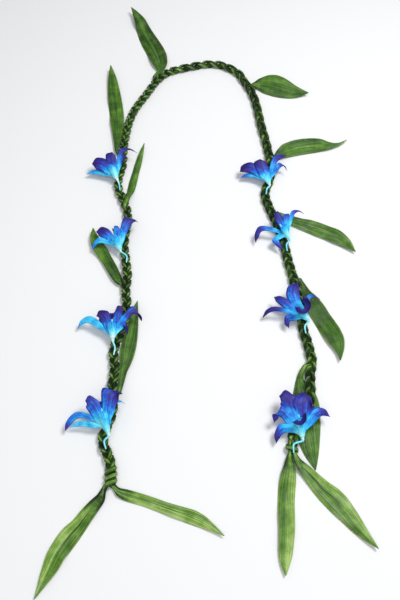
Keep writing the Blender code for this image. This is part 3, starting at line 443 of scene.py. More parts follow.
def blade_rings(blade, heights, fold, flat, draw, roll=0, lead=()):
    """Rings along a blade with the given heights of its start and tip.

    lead has points and widths that lead to it; flat is counted in the blade's own points.
    """
    line = list(lead)
    start_height, tip_height = heights
    for i, (x, y, width) in enumerate(blade):
        share = i / (len(blade) - 1)
        z = start_height - (start_height - LOW_HEIGHT) * smooth(share * 2) + tip_height * share ** 2.2
        line.append((Vector((x, y, z)) * MM, width * MM))
    spine, widths = zip(*line)
    flat = [len(lead) + place for place in flat]
    count = round(BLADE_RINGS * (len(line) - 1))
    rings = []
    for i in range(count + 1):
        at = i / count * (len(line) - 1)
        centre, ahead = hermite(spine, at), heading(spine, at)
        width = max(TIP_WIDTH, hermite(widths, at))
        thick = BLADE_THICK if i < count else TIP_THIN * BLADE_THICK
        swell = EDGE_WAVE * min(1.0, width / WAVE_WIDTH) if i else 0.0
        lift = (draw.uniform(-swell, swell), draw.uniform(-swell, swell))
        if flat[0] <= at <= flat[1]:
            rings.append(flat_ring(centre, ahead, width, thick))
        else:
            turn = roll * smooth(2 * i / count)
            rings.append(blade_ring(centre, ahead, width, thick, fold * min(1.0, i / 2), turn, lift))
    return rings


def neck(strand, leave, side):
    """Points and widths that carry a leaf from where it leaves the strand clear of the plait."""
    s = distance_of(strand, leave)
    rows, way = (NECK_BESIDE, side) if side else (NECK_OVER, 1)
    return [(PLAIT.place(s + on * MM, way * out * MM, up * MM), width * MM) for on, out, up, width in rows]


def start_phase(strand, start):
    """Phase at which a leaf starts: at the knot, or just past the lobe where the last one left."""
    if start == PLAIT_START:
        return phase_at(strand, start * MM)
    last = next(row for row in LEAVES.values() if row[0] == strand and row[2] == start)
    return leaving_phase(last) + START_PAST


def leaving_phase(row):
    strand, _, end, side = row[:4]
    return lobe_near(strand, end * MM, side) if side else lobe_near(strand, end * MM, 1) - OVER_BEFORE


def tip_leaf(row, draw):
    """A leaf whose tip leaves the plait part of the way along."""
    strand, start, _, side, fold, roll, tip_height, flat, blade, _ = row
    leave = leaving_phase(row)
    rings = plaited(strand, start, leave)
    lead = neck(strand, leave, side)
    onward = PLAIT.ahead(distance_of(strand, leave))
    if side and (Vector((*blade[0][:2], 0)) * MM - lead[-1][0]).dot(onward) < LEAST_ONWARD:
        lead.pop()
    return rings + blade_rings(blade, (BESIDE_HEIGHT, tip_height), fold, flat, draw, roll, lead), len(rings)


def tail_leaf(row, draw):
    """A leaf that stays in the plait to its right end, and trails from it."""
    strand, start, side, fold, tip_height, flat, blade, _ = row
    rings = plaited(strand, start, phase_at(strand, PLAIT_END))
    for step, out, width in BUNDLE:
        rings.append([PLAIT.place(PLAIT_END + step * MM, side * out * MM + u, v)
                      for u, v in lens(width * MM, BUNDLE_THICK)])
    return rings + blade_rings(blade, (TIE_HEIGHT, tip_height), fold, flat, draw), len(rings) - 1


def band_ring(s, angle, radii, band, turned=1.0):
    """Section of a band that goes round the plait, at an angle round it from the outer side."""
    ahead = PLAIT.ahead(s)
    side = left_of(ahead)
    a = radians(angle)
    face = side * cos(a) + UP * sin(a)
    back = (side * (1 - turned) - ahead * turned).normalized()
    centre = PLAIT.place(s, radii[0] * cos(a), radii[1] * sin(a))
    return [centre + back * u + face * v for u, v in lens(*band)]


def tie_leaf():
    """The leaf that ends as a tie wound round the other two at the right end."""
    _, strand, start, _ = TIE
    rings = plaited(strand, start, phase_at(strand, PLAIT_END))
    for i in range(TIE_STEPS + 1):
        share = i / TIE_STEPS
        s = PLAIT_END + (TIE_FROM + TIE_LENGTH * share) * MM
        turned = min(1.0, TIE_SLANT + share * TIE_TURNING)
        rings.append(band_ring(s, TIE_ANGLE - TIE_TURN * share, TIE_RADII, TIE_BAND, turned))
    return rings


def knot_leaf(row, draw):
    """A leaf wound one and a quarter times round as half of the left knot, and trailing from it."""
    leaves_at, fold, tip_height, flat, blade, _ = row
    rings = []
    for i in range(KNOT_STEPS + 1):
        share = i / KNOT_STEPS
        angle = leaves_at + KNOT_TURN * (1 - share)
        rings.append(band_ring(between(*KNOT_SPAN, share), angle, KNOT_RADII, KNOT_BAND))
    blade_part = blade_rings(blade, (KNOT_HEIGHT, tip_height), fold, flat, draw)
    if leaves_at < 0:
        blade_part = [ring[3:] + ring[:3] for ring in blade_part]
    return rings + blade_part, len(rings)


def tepal_rings(root, middle, tip, width, places, cup):
    """Rings of a petal or sepal from its root in the funnel, with its broad face turned one way."""
    bend = middle * 2 - (root + tip) / 2
    lateral = SEEN_FROM.cross(tip - root).normalized()
    rings = []
    for t, share in places:
        centre = root * (1 - t) ** 2 + bend * 2 * t * (1 - t) + tip * t * t
        ahead = ((bend - root) * (1 - t) + (tip - bend) * t).normalized()
        side = (lateral - ahead * lateral.dot(ahead)).normalized()
        face = ahead.cross(side).normalized()
        wide = max(TIP_WIDTH, share * width)
        rings.append([centre + side * (u * wide) + face * (v * TEPAL_THICK + cup * abs(u) * wide)
                      for u, v in BLADE_SECTION])
    return rings


def stalk_line(name, spur, throat):
    """The stalk leaves the spur and lies along the top of the plait, towards the plait's end."""
    s = PLAIT.nearest(spur)
    back = -1 if "left" in name else 1
    top = HALF_HEIGHT + GAP + STALK_RADIUS + (TIE_CLEAR if name == TIED_BLOOM else 0)
    inside = [between(spur, throat, share) for share in STALK_INSIDE]
    return inside + [PLAIT.place(s + back * on, across * back * MM, top) for on, across in STALK_SPOTS]


# ---- finer pieces ----

PLAIT_STEP = 1.7 * MM
BLADE_STEP = 2.0 * MM
PETAL_STEP = 1.3 * MM
LEAF_COLUMNS = 15
PETAL_COLUMNS = 13
FUNNEL_SIDES, STALK_SIDES, COLUMN_SIDES = 30, 10, 14
# Rows of a lip, and the degrees across it from one column to the next
LIP_ROWS = 14
LIP_COLUMN = 12
# Depth of its ruffles, how close they are, and share of its thickness at its edges
LIP_RUFFLE = 0.5 * MM
LIP_RUFFLES = 11
LIP_EDGE = 0.35
# How round the edge of a strand, a blade or a petal is: 2 is an ellipse
EDGE_ROUND = 2.4
BLADE_THIN = 0.62
FLOOR_CLEAR = 0.15 * MM
# Corners lower than this above it are eased up, the upper ones staying above the lower ones
FLOOR_EASE = 0.4 * MM
# Slow waves: how often each one swings over its length, and its share of the whole
WAVES = ((1.0, 0.6), (2.3, 0.3), (4.1, 0.15))
# How much wider and thicker a strand is here than its solid, so that no light falls through
STRAND_WIDER = 1.16
STRAND_THICKER = 1.34
# How light the strands of the plait are, on the scale of the leaves' paleness
STRAND_LIGHT = 0.49
# Creases along a strand: depth, number, how far they wander, and over what length
CREASE = 0.16 * MM
CREASES = 2.0
CREASE_WANDER = 0.7
CREASE_LENGTH = 60 * MM
# Rings over which a strand turns into its blade
BLADE_EASE = 3
# Depth and length of the waves in a blade's edges
RIPPLE = 0.45 * MM
RIPPLE_LENGTH = 50 * MM
# Swell beside a blade's midrib, how much it varies, groove along it, and that one's reach
SWELL = 0.03
SWELL_WAVE = 0.4
GROOVE = 0.022
GROOVE_REACH = 0.09
# Where along a blade the painted shade of a dark crease ends, and over how much of it
FOLD_END = 0.75
FOLD_FADE = 0.45
# How much paler a yellow blade gets towards its tip, and where it is as pale as in the table
YELLOW_TIP = 0.16
YELLOW_EVEN = 0.4
# The ring before a strand's first one, inside the knot: how far in, and its share of the size
SUNK = 2 * MM
SUNK_SIZE = 0.7

# Where the petals start and the mouth of the funnel is, on the scale of reach: 0 spur, 1 tip
ROOT_REACH = 0.08
MOUTH_REACH = 0.30
# How far the dye has gone where the funnel's foot and its plug start, how deep its lobes are, and
# place along it and radius: of the foot, in spur radii, and of the plug, in the funnel's own
FOOT_DYE, PLUG_DYE, FUNNEL_LOBES = 0.02, 0.04, 0.04
FOOT = ((-0.03, 0.45), (-0.01, 0.8), (0.04, 1.0), (0.12, 1.2))
PLUG = ((0.2, 1.0), (0.3, 1.0), (0.4, 1.0), (0.48, 0.97), (0.55, 0.88), (0.60, 0.72), (0.63, 0.5),
        (0.64, 0.3))
# How far the dye has gone on the stalk and how much that varies, and on the column and its rise
STALK_DYE, STALK_MOTTLE = 0.16, 0.04
COLUMN_DYE, COLUMN_RISE = 0.10, 0.01
# Petals: where their tips start to taper and the least square of the width there, length of the
# ruffles along an edge, swell beside the middle in widths, fine ridges, the midrib at the base and
# its reach, and share of the thickness kept at the base and at the tip
PETAL_TAPER = 0.86, 0.02
RUFFLE_LENGTH = 16 * MM
PETAL_SWELL = 0.05
RIDGE, RIDGES = 0.05 * MM, 5
PETAL_RIB, PETAL_RIB_REACH = 0.30 * MM, 0.12
PETAL_THIN, PETAL_TIP_THIN = 0.75, 0.55
# Petals' bases: where they start up the funnel, how far along them they hold to it, the widest
# angle round it that one takes up, its overlap with the next, how far out it lies, and half its
# thickness there
HUG_FROM = 0.16
HUG_END = 0.42
HUG_SPAN = 1.2
HUG_OVERLAP = 0.12
HUG_OUT = 0.2 * MM
HUG_HALF = 0.25 * MM
# The funnel's wall between petals: least angle that it closes, angle that it keeps from their
# middles, its height, how far the dye has gone at its rim, half its thickness, and its rows
WALL_GAP = 1.9
WALL_INSET = 0.45
WALL_TOP = 0.98
WALL_REACH = 0.36
WALL_HALF = 0.3 * MM
WALL_ROWS = 18
# Towards its rim: how much it flares, waves in that and their length, ruffles and how close they
# are, and the taper, as for petals. WALL_OUT is how far outside of the funnel it lies
WALL_FLARE = 0.16
WALL_WAVE, WALL_WAVE_LENGTH = 0.03, 0.5
WALL_RUFFLE, WALL_RUFFLES = 0.5 * MM, 7
WALL_TAPER = 0.6, 0.03
WALL_OUT = 0.05 * MM


def floored(heights):
    """Heights with those near and under the table eased up to it, in the same order."""
    over = (heights - FLOOR_CLEAR) / FLOOR_EASE
    return FLOOR_CLEAR + FLOOR_EASE * np.where(over > 1, over, np.exp(np.minimum(over, 1) - 1))


def placed(name, data, place):
    """A new object in the scene."""
    made = bpy.data.objects.new(name, data)
    made.location = place
    SCENE.collection.objects.link(made)
    return made


def loop_faces(rows, size, apart=0):
    """Faces of a skin of loops, closed by strips at both ends. apart is 1 where its sides share no edge."""
    last = (rows - 1) * size
    faces = []
    for a in range(0, last, size):
        b = a + size
        faces += [(a + j, a + (j + 1) % size, b + (j + 1) % size, b + j) for j in range(size)]
    for low in range(size // 2 - apart):
        high = low + 1
        back, before = (size - low - apart) % size, size - high - apart
        # A corner that both sides share comes twice, and is kept once
        faces.append(tuple(dict.fromkeys((high, low, back, before))))
        faces.append(tuple(dict.fromkeys((last + low, last + high, last + before, last + back))))
    return faces


class Shape:
    """Corners and faces of one piece, and what its material reads at each corner."""

    def __init__(self):
        self.points, self.faces, self.marks = [], [], {}

    def add(self, loops, apart=0, **marks):
        """A closed skin of loops. A mark is one value, a row of them, a column, or all."""
        rows, size, _ = loops.shape
        start = sum(len(p) for p in self.points)
        self.points.append(loops.reshape(-1, 3))
        self.faces += [tuple(start + i for i in face) for face in loop_faces(rows, size, apart)]
        for key, values in marks.items():
            self.marks.setdefault(key, []).append(np.broadcast_to(values, (rows, size)).ravel())

    def finish(self, node, material):
        mesh = bpy.data.meshes.new(node + "_fine")
        points = np.concatenate(self.points)
        points[:, 2] = floored(points[:, 2])
        mesh.from_pydata(points.tolist(), [], self.faces)
        for key, values in self.marks.items():
            mark = mesh.attributes.new(key, "FLOAT", "POINT")
            mark.data.foreach_set("value", np.concatenate(values).astype(np.float32))
        mesh.validate()
        mesh.shade_smooth()
        mesh.materials.append(material)
        piece = placed(mesh.name, mesh, TO_ORIGIN)
        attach(piece, "root")
        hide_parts(node)


def refine(rings, steps):
    """Smooth rings through measured ones. Gives them, the distance of each, and its ring number."""
    points = np.array([[tuple(p) for p in ring] for ring in rings])
    middles = points.mean(axis=1)
    gaps = np.maximum(np.linalg.norm(np.diff(middles, axis=0), axis=1), 1e-6)
    far = np.concatenate([[0.0], np.cumsum(gaps)])
    wide = gaps[:, None, None]
    rise = np.diff(points, axis=0) / wide
    slope = np.empty_like(points)
    slope[0], slope[-1] = rise[0], rise[-1]
    slope[1:-1] = (rise[:-1] * wide[1:] + rise[1:] * wide[:-1]) / (wide[1:] + wide[:-1])
    fine, at, number = [], [], []
    for i, gap in enumerate(gaps):
        count = max(2, round(gap / steps[i]))
        t = np.arange(count + (i == len(gaps) - 1)) / count
        at.append(far[i] + gap * t)
        number.append(i + t)
        t = t[:, None, None]
        fine.append(points[i] * (1 + 2 * t) * (1 - t) ** 2 + slope[i] * gap * t * (1 - t) ** 2
                    + points[i + 1] * t * t * (3 - 2 * t) + slope[i + 1] * gap * t * t * (t - 1))
    return [np.concatenate(part) for part in (fine, at, number)]


def widths_of(fine):
    return np.linalg.norm(fine[:, 0] - fine[:, 2], axis=1)


def rounded(u):
    """Share of a skin's thickness at a place across it."""
    return (1 - abs(u) ** EDGE_ROUND) ** (1 / EDGE_ROUND)


def tapered(t, start, least):
    """Share of the width at a place along, rounded off from a start to the end."""
    return np.sqrt(np.clip(1 - ((t - start) / (1 - start)).clip(0) ** 2, least, 1))


def skin(columns, sides_at):
    """Loops over the upper side and back under the lower one, which sides_at gives from u = -1 to 1."""
    spread = np.sin(np.linspace(-0.5, 0.5, columns) * pi)
    upper, lower = zip(*[sides_at(u) for u in spread])
    return np.stack(upper + lower[-2:0:-1], axis=1), np.concatenate([spread, spread[-2:0:-1]])


def ribbon(fine, columns, thin, lift):
    """Skin of a leaf or petal: thin is the share of thickness that each ring keeps, lift(u) its lift."""
    left, middle, right, right_low, middle_low, left_low = (fine[:, i] for i in range(6))

    def sides_at(u):
        edge, edge_low = (left, left_low) if u < 0 else (right, right_low)
        top = middle + (edge - middle) * abs(u)
        bottom = middle_low + (edge_low - middle_low) * abs(u)
        half = (top - bottom) / 2
        out = half / np.linalg.norm(half, axis=1)[:, None]
        centre = (top + bottom) / 2 + out * lift(u)[:, None]
        half = half * thin[:, None] * rounded(u)
        return centre + half, centre - half

    return skin(columns, sides_at)


def wander(at, seed, length):
    """A slow smooth wave of about one unit, another one for each seed."""
    draw = random.Random(seed)
    total = np.zeros_like(at)
    for k, share in WAVES:
        total += share * np.sin(at / length * k * tau + draw.uniform(0, tau))
    return total


def dress_leaf(name, look, rings, blade_from, seed, material):
    """One leaf: its strand in the plait, creased lengthwise, and its blade."""
    steps = [PLAIT_STEP if i < blade_from else BLADE_STEP for i in range(len(rings) - 1)]
    fine, at, number = refine(rings, steps)
    pale, gloss, yellow, half, rib = look
    blade = smooth((number - blade_from) / BLADE_EASE)
    middle = fine.mean(axis=1, keepdims=True)
    grow = 1 + (STRAND_WIDER - 1) * (1 - blade)
    fine = middle + (fine - middle) * grow[:, None, None]
    wide = widths_of(fine)
    edge_waves = [wander(at, seed + side, RIPPLE_LENGTH) for side in (0, 1)]
    shift = CREASE_WANDER * wander(at, seed + 2, CREASE_LENGTH)

    def lift(u):
        a = abs(u)
        wave = edge_waves[int(u >= 0)]
        crease = CREASE * np.cos(u * CREASES * pi + shift) * (1 - a ** 4)
        ripple = RIPPLE * wave * a * a * np.minimum(1, wide / WAVE_WIDTH)
        swell = SWELL * wide * sin(pi * a) * (1 + SWELL_WAVE * wave)
        groove = -GROOVE * wide * exp(-(a / GROOVE_REACH) ** 2)
        return crease * (1 - blade) + (ripple + swell + groove) * blade

    thin = STRAND_THICKER + (BLADE_THIN - STRAND_THICKER) * blade
    loops, across = ribbon(fine, LEAF_COLUMNS, thin, lift)
    progress = np.clip((number - blade_from) / max(1.0, len(rings) - 1.0 - blade_from), 0, 1)
    # A dark crease, which is painted shade, fades out along the blade; a pale midrib line does not
    fade = np.clip((FOLD_END - progress) / FOLD_FADE, 0, 1) if rib < 0 else blade
    tone = pale + YELLOW_TIP * yellow * (progress - YELLOW_EVEN)
    shape = Shape()
    # pale holds the leaf's own tone, with one half made paler than the other as painted light on the fold
    shape.add(loops, across=across, along=at[:, None], blade=blade[:, None], width=wide[:, None],
              pale=tone[:, None] + 0.5 * half * np.clip(across * 4, -1, 1), gloss=gloss,
              yellow=yellow, own=seed / 10, rib=rib * fade[:, None])
    shape.finish(name, material)


def sunk_start(ring):
    """A smaller ring before a strand's first one, inside the knot."""
    middle = sum(ring, Vector()) / len(ring)
    inside = PLAIT.place(KNOT_SPAN[0] - SUNK, 0, 0)
    return [inside + (p - middle) * SUNK_SIZE for p in ring]


def dress_leaves(material):
    draw = random.Random(7)
    seed = 20
    for rings_of, table in ((knot_leaf, KNOTTED), (tip_leaf, LEAVES), (tail_leaf, TAILS)):
        for name, row in table.items():
            rings, blade_from = rings_of(row, draw)
            if table is LEAVES and row[1] == PLAIT_START:
                rings, blade_from = [sunk_start(rings[0])] + rings, blade_from + 1
            dress_leaf(name, row[-1], rings, blade_from, seed, material)
            seed += 5
    rings = tie_leaf()
    dress_leaf(TIE[0], TIE[-1], rings, len(rings) + BLADE_EASE, seed, material)


def rays(angles, axes):
    """Directions at angles between two axes."""
    return np.cos(angles)[..., None] * axes[0] + np.sin(angles)[..., None] * axes[1]


class Cone:
    """The funnel of a bloom, for the petals that flow out of it."""

    def __init__(self, spur, throat):
        self.spur = np.array(spur)
        self.far = (throat - spur).length
        self.ahead = np.array((throat - spur).normalized())

    def radius(self, share):
        flare = np.clip((share - FLARE_FROM) / (1 - FLARE_FROM), 0, 1) ** FLARE
        return SPUR_RADIUS + (THROAT_RADIUS - SPUR_RADIUS) * flare

    def middle(self, share):
        return self.spur + np.outer(share, self.ahead) * self.far

    def axes(self, out):
        """The way out from the cone's middle line, and a quarter turn on from it."""
        first = np.array(out.normalized())
        return first, np.cross(self.ahead, first)

    def gaps(self, outs):
        """For each direction its angle round the cone, and those to the next one and the one before."""
        first, second = self.axes(outs[0])
        places = [atan2(np.array(o) @ second, np.array(o) @ first) % tau for o in outs]
        turns = [sorted((b - a) % tau for b in places if b != a) for a in places]
        return [(place, turn[0], tau - turn[-1]) for place, turn in zip(places, turns)]

    def hug(self, loops, across, top, spans, hold, out):
        """Bends the loops of a petal round the cone, as far as hold says for each loop."""
        axes = self.axes(out)
        share = (loops.mean(axis=1) - self.spur) @ self.ahead / self.far
        radius = self.radius(share) + HUG_OUT
        way = np.sign((loops[:, PETAL_COLUMNS - 1] - loops[:, 0]) @ axes[1])
        turn = across * way[:, None]
        angle = turn * np.where(turn > 0, spans[0], spans[1])
        depth = radius[:, None] + top * HUG_HALF
        round_it = self.middle(share)[:, None] + depth[..., None] * rays(angle, axes)
        return loops + (round_it - loops) * hold[:, None, None]


def dress_tepal(shape, rings, ruffle, dye, seed, cone, out, spans):
    """One petal or sepal, ruffled at its edges, with its base held to the funnel."""
    fine, at, _ = refine(rings, [PETAL_STEP] * (len(rings) - 1))
    t = at / at[-1]
    narrow = tapered(t, *PETAL_TAPER)[:, None]
    for edge, middle in ((0, 1), (2, 1), (5, 4), (3, 4)):
        fine[:, edge] = fine[:, middle] + (fine[:, edge] - fine[:, middle]) * narrow
    wide = widths_of(fine)
    edge_waves = [wander(at, seed + side, RUFFLE_LENGTH) for side in (0, 1)]

    def lift(u):
        a = abs(u)
        wave = edge_waves[int(u >= 0)]
        swell = PETAL_SWELL * wide * sin(pi * a)
        ridges = RIDGE * cos(u * RIDGES * pi)
        midrib = PETAL_RIB * exp(-(a / PETAL_RIB_REACH) ** 2) * (1 - t)
        return ruffle * wave * a * a * t + swell + ridges + midrib

    loops, across = ribbon(fine, PETAL_COLUMNS, PETAL_THIN + (PETAL_TIP_THIN - PETAL_THIN) * t, lift)
    face = loops[:, PETAL_COLUMNS // 2] - loops[:, len(across) - PETAL_COLUMNS // 2]
    outer = np.where(face @ np.array(out) > 0, 1.0, -1.0)
    top = np.where(np.arange(len(across)) < PETAL_COLUMNS, 1.0, -1.0)
    top[[0, PETAL_COLUMNS - 1]] = 0.0
    loops = cone.hug(loops, across, top * outer[:, None], spans, 1 - smooth(t / HUG_END), out)
    reach = ROOT_REACH + (1 - ROOT_REACH) * t[:, None]
    dyed = np.where(reach < MOUTH_REACH, reach, MOUTH_REACH + (reach - MOUTH_REACH) * dye)
    shape.add(loops, across=across, reach=reach, dyed=dyed)


def dress_wall(shape, cone, outs, gaps, seed):
    """The free part of the funnel's wall, in the widest gap between the petals' bases."""
    place, gap, _ = max(gaps, key=lambda row: row[1])
    if gap < WALL_GAP:
        return
    middle, half = place + 0.5 * gap, 0.5 * gap - WALL_INSET
    t = np.linspace(0, 1, WALL_ROWS)
    share = HUG_FROM + (WALL_TOP - HUG_FROM) * t
    flare = 1 + WALL_FLARE * t ** 3 + WALL_WAVE * wander(t, seed, WALL_WAVE_LENGTH) * t

    def sides_at(u):
        ray = rays(middle + half * u * tapered(t, *WALL_TAPER), cone.axes(outs[0]))
        ruffle = WALL_RUFFLE * sin(WALL_RUFFLES * u + seed) * t ** 3
        radius = cone.radius(share) * flare + ruffle + WALL_OUT
        edge = WALL_HALF * rounded(u)
        return [cone.middle(share) + ray * (radius + way * edge)[:, None] for way in (1, -1)]

    loops, across = skin(PETAL_COLUMNS, sides_at)
    reach = ROOT_REACH + WALL_REACH * t[:, None]
    shape.add(loops, across=across, reach=reach, dyed=reach)


def turned(shape, stops, sides, reach, lobes=0.0):
    """A round skin through (middle, direction, radius) stops, closed at its ends."""
    side = stops[0][1].orthogonal().normalized()
    loops = []
    for middle, ahead, radius in stops:
        side = (side - ahead * side.dot(ahead)).normalized()
        other = ahead.cross(side)
        loop = []
        for k in range(sides):
            angle = tau * k / sides
            out = radius * (1 + lobes * cos(5 * angle))
            loop.append(middle + (side * cos(angle) + other * sin(angle)) * out)
        loops.append(loop)
    across = np.cos(np.arange(sides) * tau * 3 / sides)
    reach = np.array(reach)[:, None]
    shape.add(np.array(loops), across=across, reach=reach, dyed=reach)


def path_stops(line, radius, count, end):
    """Stops along a smooth line, with a radius that shrinks to a share of it at the end."""
    stops = []
    for i in range(count + 1):
        share = i / count
        at = share * (len(line) - 1)
        stops.append((hermite(line, at), heading(line, at), radius * (1 - (1 - end) * share ** 3)))
    return stops


def dress_bloom(name, row, seed, petal, lip):
    """An orchid: funnel, petals, sepals, stalk and column as one piece, and its lip as another."""
    spur, throat, kinds, tepals, lip_row = row
    spur, throat = Vector(spur) * MM, Vector(throat) * MM
    axis = (throat - spur).normalized()
    cone = Cone(spur, throat)
    shape = Shape()
    stops = [(between(spur, throat, share), axis, SPUR_RADIUS * grow) for share, grow in FOOT]
    stops += [(between(spur, throat, share), axis, float(cone.radius(share)) * grow) for share, grow in PLUG]
    reach = [FOOT_DYE + share * MOUTH_REACH for share, _ in FOOT]
    reach += [PLUG_DYE + share * MOUTH_REACH for share, _ in PLUG]
    turned(shape, stops, FUNNEL_SIDES, reach, lobes=FUNNEL_LOBES)
    tips = [Vector(tepal[:3]) * MM - throat for tepal in tepals]
    outs = [tip - axis * tip.dot(axis) for tip in tips]
    gaps = cone.gaps(outs)
    dress_wall(shape, cone, outs, gaps, seed)
    for i, (tepal, out, (_, *beside)) in enumerate(zip(tepals, outs, gaps)):
        tip, middle, (width, dye) = Vector(tepal[:3]) * MM, Vector(tepal[3:6]) * MM, tepal[6:]
        root = between(spur, throat, HUG_FROM) + out.normalized() * ROOT_OUT
        places, cup, ruffle = KINDS[kinds[i]]
        rings = tepal_rings(root, middle, tip, width * MM, places, cup)
        spans = [min(HUG_SPAN, 0.5 * gap + HUG_OVERLAP) for gap in beside]
        dress_tepal(shape, rings, ruffle, dye, seed + 3 * i, cone, out, spans)
    stalk = path_stops(stalk_line(name, spur, throat), STALK_RADIUS, count=26, end=0.7)
    turned(shape, stalk, STALK_SIDES, [STALK_DYE - STALK_MOTTLE * sin(3 * i) for i in range(len(stalk))])
    column_line = [between(spur, throat, COLUMN_FROM), throat, throat + axis * COLUMN_LENGTH]
    column = path_stops(column_line, COLUMN_RADIUS, count=10, end=0.6)
    turned(shape, column, COLUMN_SIDES, [COLUMN_DYE + COLUMN_RISE * i for i in range(len(column))])
    shape.finish(name, petal)
    dress_lip(name + "_lip", lip_row, seed + 40, lip)


def dress_lip(name, row, seed, material):
    """A ruffled trough that curls to both sides."""
    root, tip, opening, width, curl = row
    root, tip = Vector(root) * MM, Vector(tip) * MM
    ahead, far = (tip - root).normalized(), (tip - root).length
    up = Vector(opening)
    up = (up - ahead * up.dot(ahead)).normalized()
    lateral = ahead.cross(up)
    places, widths, drops = zip(*LIP_SHAPE)
    columns = 2 * round(curl / LIP_COLUMN) + 1
    shares = [i / (LIP_ROWS - 1) for i in range(LIP_ROWS)]
    loops = []
    for share in shares:
        radius = 0.5 * width * MM * np.interp(share, places, widths)
        drop = np.interp(share, places, drops)
        centre = root + ahead * far * share + up * (drop * far + radius * 0.5)
        inner, outer = [], []
        for k in range(columns):
            u = 2 * k / (columns - 1) - 1
            a = radians(curl * u)
            ruffle = LIP_RUFFLE * share ** 2 * sin(u * LIP_RUFFLES + seed) * abs(u)
            ray = lateral * sin(a) - up * cos(a)
            thick = LIP_THICK * between(LIP_EDGE, 1, 1 - abs(u) ** 3)
            middle = centre + ray * (radius + 0.5 * LIP_THICK) + ahead * ruffle
            inner.append(middle - ray * 0.5 * thick)
            outer.append(middle + ray * 0.5 * thick)
        loops.append(inner + outer[::-1])
    shape = Shape()
    shape.add(np.array(loops), apart=1, reach=np.array(shares)[:, None])
    shape.finish(name, material)


def dress_blooms(petal, lip):
    for i, (name, row) in enumerate(BLOOMS.items()):
        dress_bloom(name, row, 200 + 50 * i, petal, lip)


# ---- materials ----

class Value:
    """What a material's node gives. Sums of values make nodes too."""

    def __init__(self, nodes, socket):
        self.nodes, self.socket = nodes, socket

    def __add__(self, other):
        return self.nodes.math("ADD", self, other)

    def __sub__(self, other):
        return self.nodes.math("SUBTRACT", self, other)

    def __rsub__(self, other):
        return self.nodes.math("SUBTRACT", other, self)

    def __mul__(self, other):
        return self.nodes.math("MULTIPLY", self, other)

    def __abs__(self):
        return self.nodes.math("ABSOLUTE", self)

    __radd__, __rmul__ = __add__, __mul__

    def remap(self, low, high, to_low=0.0, to_high=1.0):
        values = (self, low, high, to_low, to_high)
        return self.nodes.node("MapRange", dict(enumerate(values)))

    def swing(self, size):
        """Noise as a value that swings as far up as down."""
        return self.remap(0.3, 0.7, -size, size)


class Nodes:
    """A material that is laid out as nodes."""

    def __init__(self, name):
        self.material = bpy.data.materials.new(name)
        self.material.use_nodes = True
        self.tree = self.material.node_tree

    def link(self, value, socket):
        if isinstance(value, Value):
            self.tree.links.new(value.socket, socket)
        else:
            socket.default_value = value

    def node(self, kind, inputs, output=0, **settings):
        made = self.tree.nodes.new("ShaderNode" + kind)
        for key, value in settings.items():
            setattr(made, key, value)
        for key, value in inputs.items():
            self.link(value, made.inputs[key])
        return Value(self, made.outputs[output])

    def mark(self, name):
        return self.node("Attribute", {}, "Fac", attribute_name=name)

    def place(self):
        return self.node("TexCoord", {}, "Object")

    def math(self, operation, a, b=0.0, clamp=False):
        return self.node("Math", {0: a, 1: b}, operation=operation, use_clamp=clamp)

    def vector(self, x, y, z):
        return self.node("CombineXYZ", {0: x, 1: y, 2: z})

    def noise(self, vector, scale, detail=3.0, rough=0.55):
        inputs = {"Vector": vector, "Scale": scale, "Detail": detail, "Roughness": rough}
        return self.node("TexNoise", inputs)

    def ramp(self, value, stops):
        made = self.node("ValToRGB", {0: value})
        items = made.socket.node.color_ramp.elements
        while len(items) < len(stops):
            items.new(0.5)
        for item, (place, colour) in zip(items, stops):
            item.position = place
            item.color = (*colour, 1)
        return made

    def mix(self, share, under, colour):
        return self.node("Mix", {0: share, 6: under, 7: (*colour, 1)}, 2, data_type="RGBA")

    def bump(self, height, distance):
        return self.node("Bump", {"Strength": 0.5, "Distance": distance, "Height": height})

    def surface(self, **inputs):
        """Sets inputs of the surface by their names, and gives the material."""
        shader = self.tree.nodes["Principled BSDF"]
        for key, value in inputs.items():
            self.link(value, shader.inputs[key.replace("_", " ")])
        return self.material


